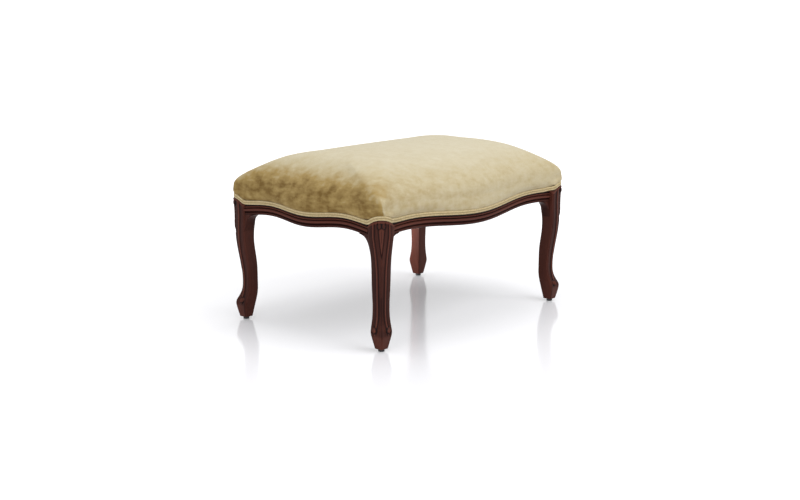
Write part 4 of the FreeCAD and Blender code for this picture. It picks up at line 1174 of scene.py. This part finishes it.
def painted_nap_tone(points, numbers):
    """Painted sheen and shade of the nap, 0 dark to 1 pale: painted shade on the ends, painted sheen on top
    and along the long sides, darker towards the left end.
    """
    x, y, height = points.T
    above = height - WELT_TOP[numbers]
    from_fold = RUNS[numbers] - PLEAT_FOOT - PLEAT_SLANT * np.clip(above, 0, PLEAT_RISE)
    at_fold = rise(from_fold, -NAP_SHARP / 2, NAP_SHARP / 2)
    pull_x = (np.abs(x) / HALF_LENGTH) ** NAP_BROAD / HALF_LENGTH
    pull_y = (np.abs(y) / HALF_WIDTH) ** NAP_BROAD / HALF_WIDTH
    broad = rise(pull_x / (pull_x + pull_y + NAP_LEAST_PULL), *NAP_BROAD_SHARES)
    end_share = at_fold + (broad - at_fold) * rise(above, *NAP_SHARP_UNTIL)
    end_shade = np.where(x < 0, NAP_LEFT_SHADE, NAP_RIGHT_SHADE) * (1 - rise(height, *NAP_END_LEVELS))
    long_shade = NAP_LONG_SHADE * (1 - rise(height, *NAP_LONG_LEVELS))
    tone = NAP_TOP - long_shade * (1 - end_share) - end_shade * end_share
    return np.clip(tone - NAP_SLOPE * np.clip(-x / HALF_LENGTH, 0, 1), 0, 1)


def make_seat():
    rings = settled(seat_rings(SEAT_TOP - FILL_ROOM))
    rings = [pleated(ring) for ring in rings[:-1]] + rings[-1:]
    points, grid = shared_net(rings)
    seat = new_object("velvet_seat", points, net_faces(grid), VELVET)
    numbers = np.zeros(len(points), int)
    numbers[grid] = np.arange(grid.shape[1])[None, :]
    # Painted sheen and shade of the nap on the seat
    add_attribute(seat, "nap_sheen_and_shade", painted_nap_tone(points, numbers))
    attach(seat, BODY)
    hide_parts("velvet_cover", "wadding", "foam_core")


make_seat()

# Double welt: two cords side by side on the show-wood's upper edge
CORD_STEPS = 14
WELT_ROUNDS = 14
SEAM_TONE = 0.75
SEAM_WIDTH = 0.25 * WELT_CORD


def make_welt():
    plan = outline(even(WELT_INSET), CORNER_RADIUS, slanting=True)
    middle = evened(np.column_stack([plan, welt_height(plan) + WELT_MIDDLE]), WELT_ROUNDS, axis=0)
    forward = unit(tangents(middle))
    outward = level_outward(forward)
    upward = np.cross(outward, forward)
    radius = WELT_CORD / 2
    waist = math.asin(WELT_WAIST)
    span = math.pi + 2 * waist
    lines = []
    seams = []
    for side in (1, -1):
        for step in range(CORD_STEPS):
            angle = -waist + span * step / CORD_STEPS
            across = side * radius * math.cos(angle)
            up = side * radius * (WELT_WAIST + math.sin(angle))
            lines.append(middle + outward * across + upward * up)
            seams.append(SEAM_TONE * bump(up, SEAM_WIDTH))
    points = np.stack(lines, axis=1).reshape(-1, 3)
    grid = np.arange(len(points)).reshape(len(middle), -1)
    welt = new_object("velvet_double_welt", points, grid_faces(np.vstack([grid, grid[:1]])), WELT_VELVET)
    add_attribute(welt, "seam", np.tile(seams, len(middle)))
    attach(welt, BODY)
    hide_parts("double_welt")


make_welt()

# Dust cloth under the seat
DUST_LEVEL = 269.6
DUST_SAG = 3.5
DUST_FLATNESS = 0.8
DUST_STEPS = 60
DUST_CORNER = 5
DUST_THICKNESS = 0.6


def make_dust_cloth():
    low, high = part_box("dust_cover")
    xs = np.linspace(low.x, high.x, DUST_STEPS) / MM
    ys = np.linspace(low.y, high.y, DUST_STEPS) / MM
    grid_x, grid_y = np.meshgrid(xs, ys, indexing="ij")
    share_x = 1 - (grid_x / xs[-1]) ** 2
    share_y = 1 - (grid_y / ys[-1]) ** 2
    sag = DUST_SAG * (share_x * share_y) ** DUST_FLATNESS
    points = np.column_stack([grid_x.ravel(), grid_y.ravel(), (DUST_LEVEL - sag).ravel()])
    grid = np.arange(len(points)).reshape(DUST_STEPS, -1)
    quads = np.stack([grid[:-1, :-1], grid[1:, :-1], grid[1:, 1:], grid[:-1, 1:]], axis=-1).reshape(-1, 4)
    reach_x, reach_y, _ = np.abs(points[quads].mean(axis=1)).T
    clear_of_legs = (reach_x <= notch("long") - DUST_CORNER) | (reach_y <= notch("short") - DUST_CORNER)
    cloth = new_object("dust_cloth", points, quads[clear_of_legs].tolist(), DUST_CLOTH)
    mend(cloth)
    thick = cloth.modifiers.new("thickness", "SOLIDIFY")
    thick.thickness = DUST_THICKNESS * MM
    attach(cloth, BODY)
    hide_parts("dust_cover")


make_dust_cloth()

# Floor in millimetres; its glow, the light and the camera in metres
FLOOR_HALF = 60000
FLOOR_CORNERS = FLOOR_HALF * np.array([(-1, -1, 0), (1, -1, 0), (1, 1, 0), (-1, 1, 0)])
FLOOR_COLOR = (0.85, 0.85, 0.885)
FLOOR_GLOW = (0.15, 0.6)
GLOW_REACH = (0.3, 1.6)


def looked_at(tree):
    """1 for rays that show a surface, straight, in a reflection or through glass."""
    path = tree.nodes.new("ShaderNodeLightPath").outputs
    total = path["Is Camera Ray"]
    for name in ("Is Glossy Ray", "Is Transmission Ray"):
        total = worked_out(tree, "ADD", total, path[name], clamp=True)
    return total


def make_floor():
    """Pale floor that turns white with distance, seen from above only."""
    material, tree, shader = node_material("studio_floor")
    away = add_node(tree, "ShaderNodeVectorMath", {0: texture_space(tree)}, operation="LENGTH")
    glow = scaled(tree, away.outputs["Value"], *FLOOR_GLOW, *GLOW_REACH)
    set_inputs(tree, shader, {
        "Base Color": FLOOR_COLOR,
        "Roughness": 0.13,
        "Specular IOR Level": 0.7,
        "Emission Color": WHITE,
        "Emission Strength": worked_out(tree, "MULTIPLY", looked_at(tree), glow),
    })
    clear = tree.nodes.new("ShaderNodeBsdfTransparent")
    side = tree.nodes.new("ShaderNodeNewGeometry")
    choice = add_node(tree, "ShaderNodeMixShader", {
        "Fac": side.outputs["Backfacing"],
        1: shader.outputs["BSDF"],
        2: clear.outputs["BSDF"],
    })
    set_inputs(tree, tree.nodes["Material Output"], {"Surface": choice.outputs["Shader"]})
    floor = new_object("floor", FLOOR_CORNERS, [(0, 1, 2, 3)], material)


make_floor()

SEAT_MIDDLE = (0, 0, 0.32)
BACK_LEG = (0.34, 0.24, 0.15)
LAMPS = {
    "key": {"place": (0.4, -2.2, 2.5), "size": (2.2, 1.6), "power": 41},
    "top": {"place": (0.1, 0.2, 2.6), "size": (2.4, 2.0), "power": 22},
    "left_fill": {"place": (-2.6, -0.8, 1.05), "size": (1.4, 1.4), "power": 17},
    "low_fill": {"place": (-1.85, 0.95, 0.17), "size": (0.1, 0.25), "power": 0.4,
                 "target": BACK_LEG, "spread": 10},
}


def area_light(name, place, size, power, target=SEAT_MIDDLE, spread=180):
    data = bpy.data.lights.new(name, "AREA")
    data.spread = math.radians(spread)
    data.shape = "RECTANGLE"
    data.size, data.size_y = size
    data.energy = power
    lamp = add_to_scene(name, data)
    lamp.location = place
    lamp.rotation_euler = (Vector(target) - Vector(place)).to_track_quat("-Z", "Y").to_euler()


for lamp_name, lamp_sizes in LAMPS.items():
    area_light(lamp_name, **lamp_sizes)

WORLD_LIGHT = 0.5
WORLD_SEEN = 1.0
scene = bpy.context.scene
world = bpy.data.worlds.new("studio")
world.use_nodes = True
world_tree = world.node_tree
world_level = scaled(world_tree, looked_at(world_tree), WORLD_LIGHT, WORLD_SEEN)
set_inputs(world_tree, world_tree.nodes["Background"], {"Color": WHITE, "Strength": world_level})
scene.world = world
scene.view_settings.view_transform = "Standard"

CAMERA_AT = (-2.550, -2.253, 0.852)
CAMERA_TOWARDS = (0.7331, 0.6494, -0.2018)
CAMERA_LENS = 62.93
CAMERA_SENSOR = 36
camera_data = bpy.data.cameras.new("camera")
camera_data.lens = CAMERA_LENS
camera_data.sensor_width = CAMERA_SENSOR
camera = add_to_scene("camera", camera_data)
camera.location = CAMERA_AT
camera.rotation_euler = Vector(CAMERA_TOWARDS).to_track_quat("-Z", "Y").to_euler()
scene.camera = camera

bpy.context.view_layer.update()
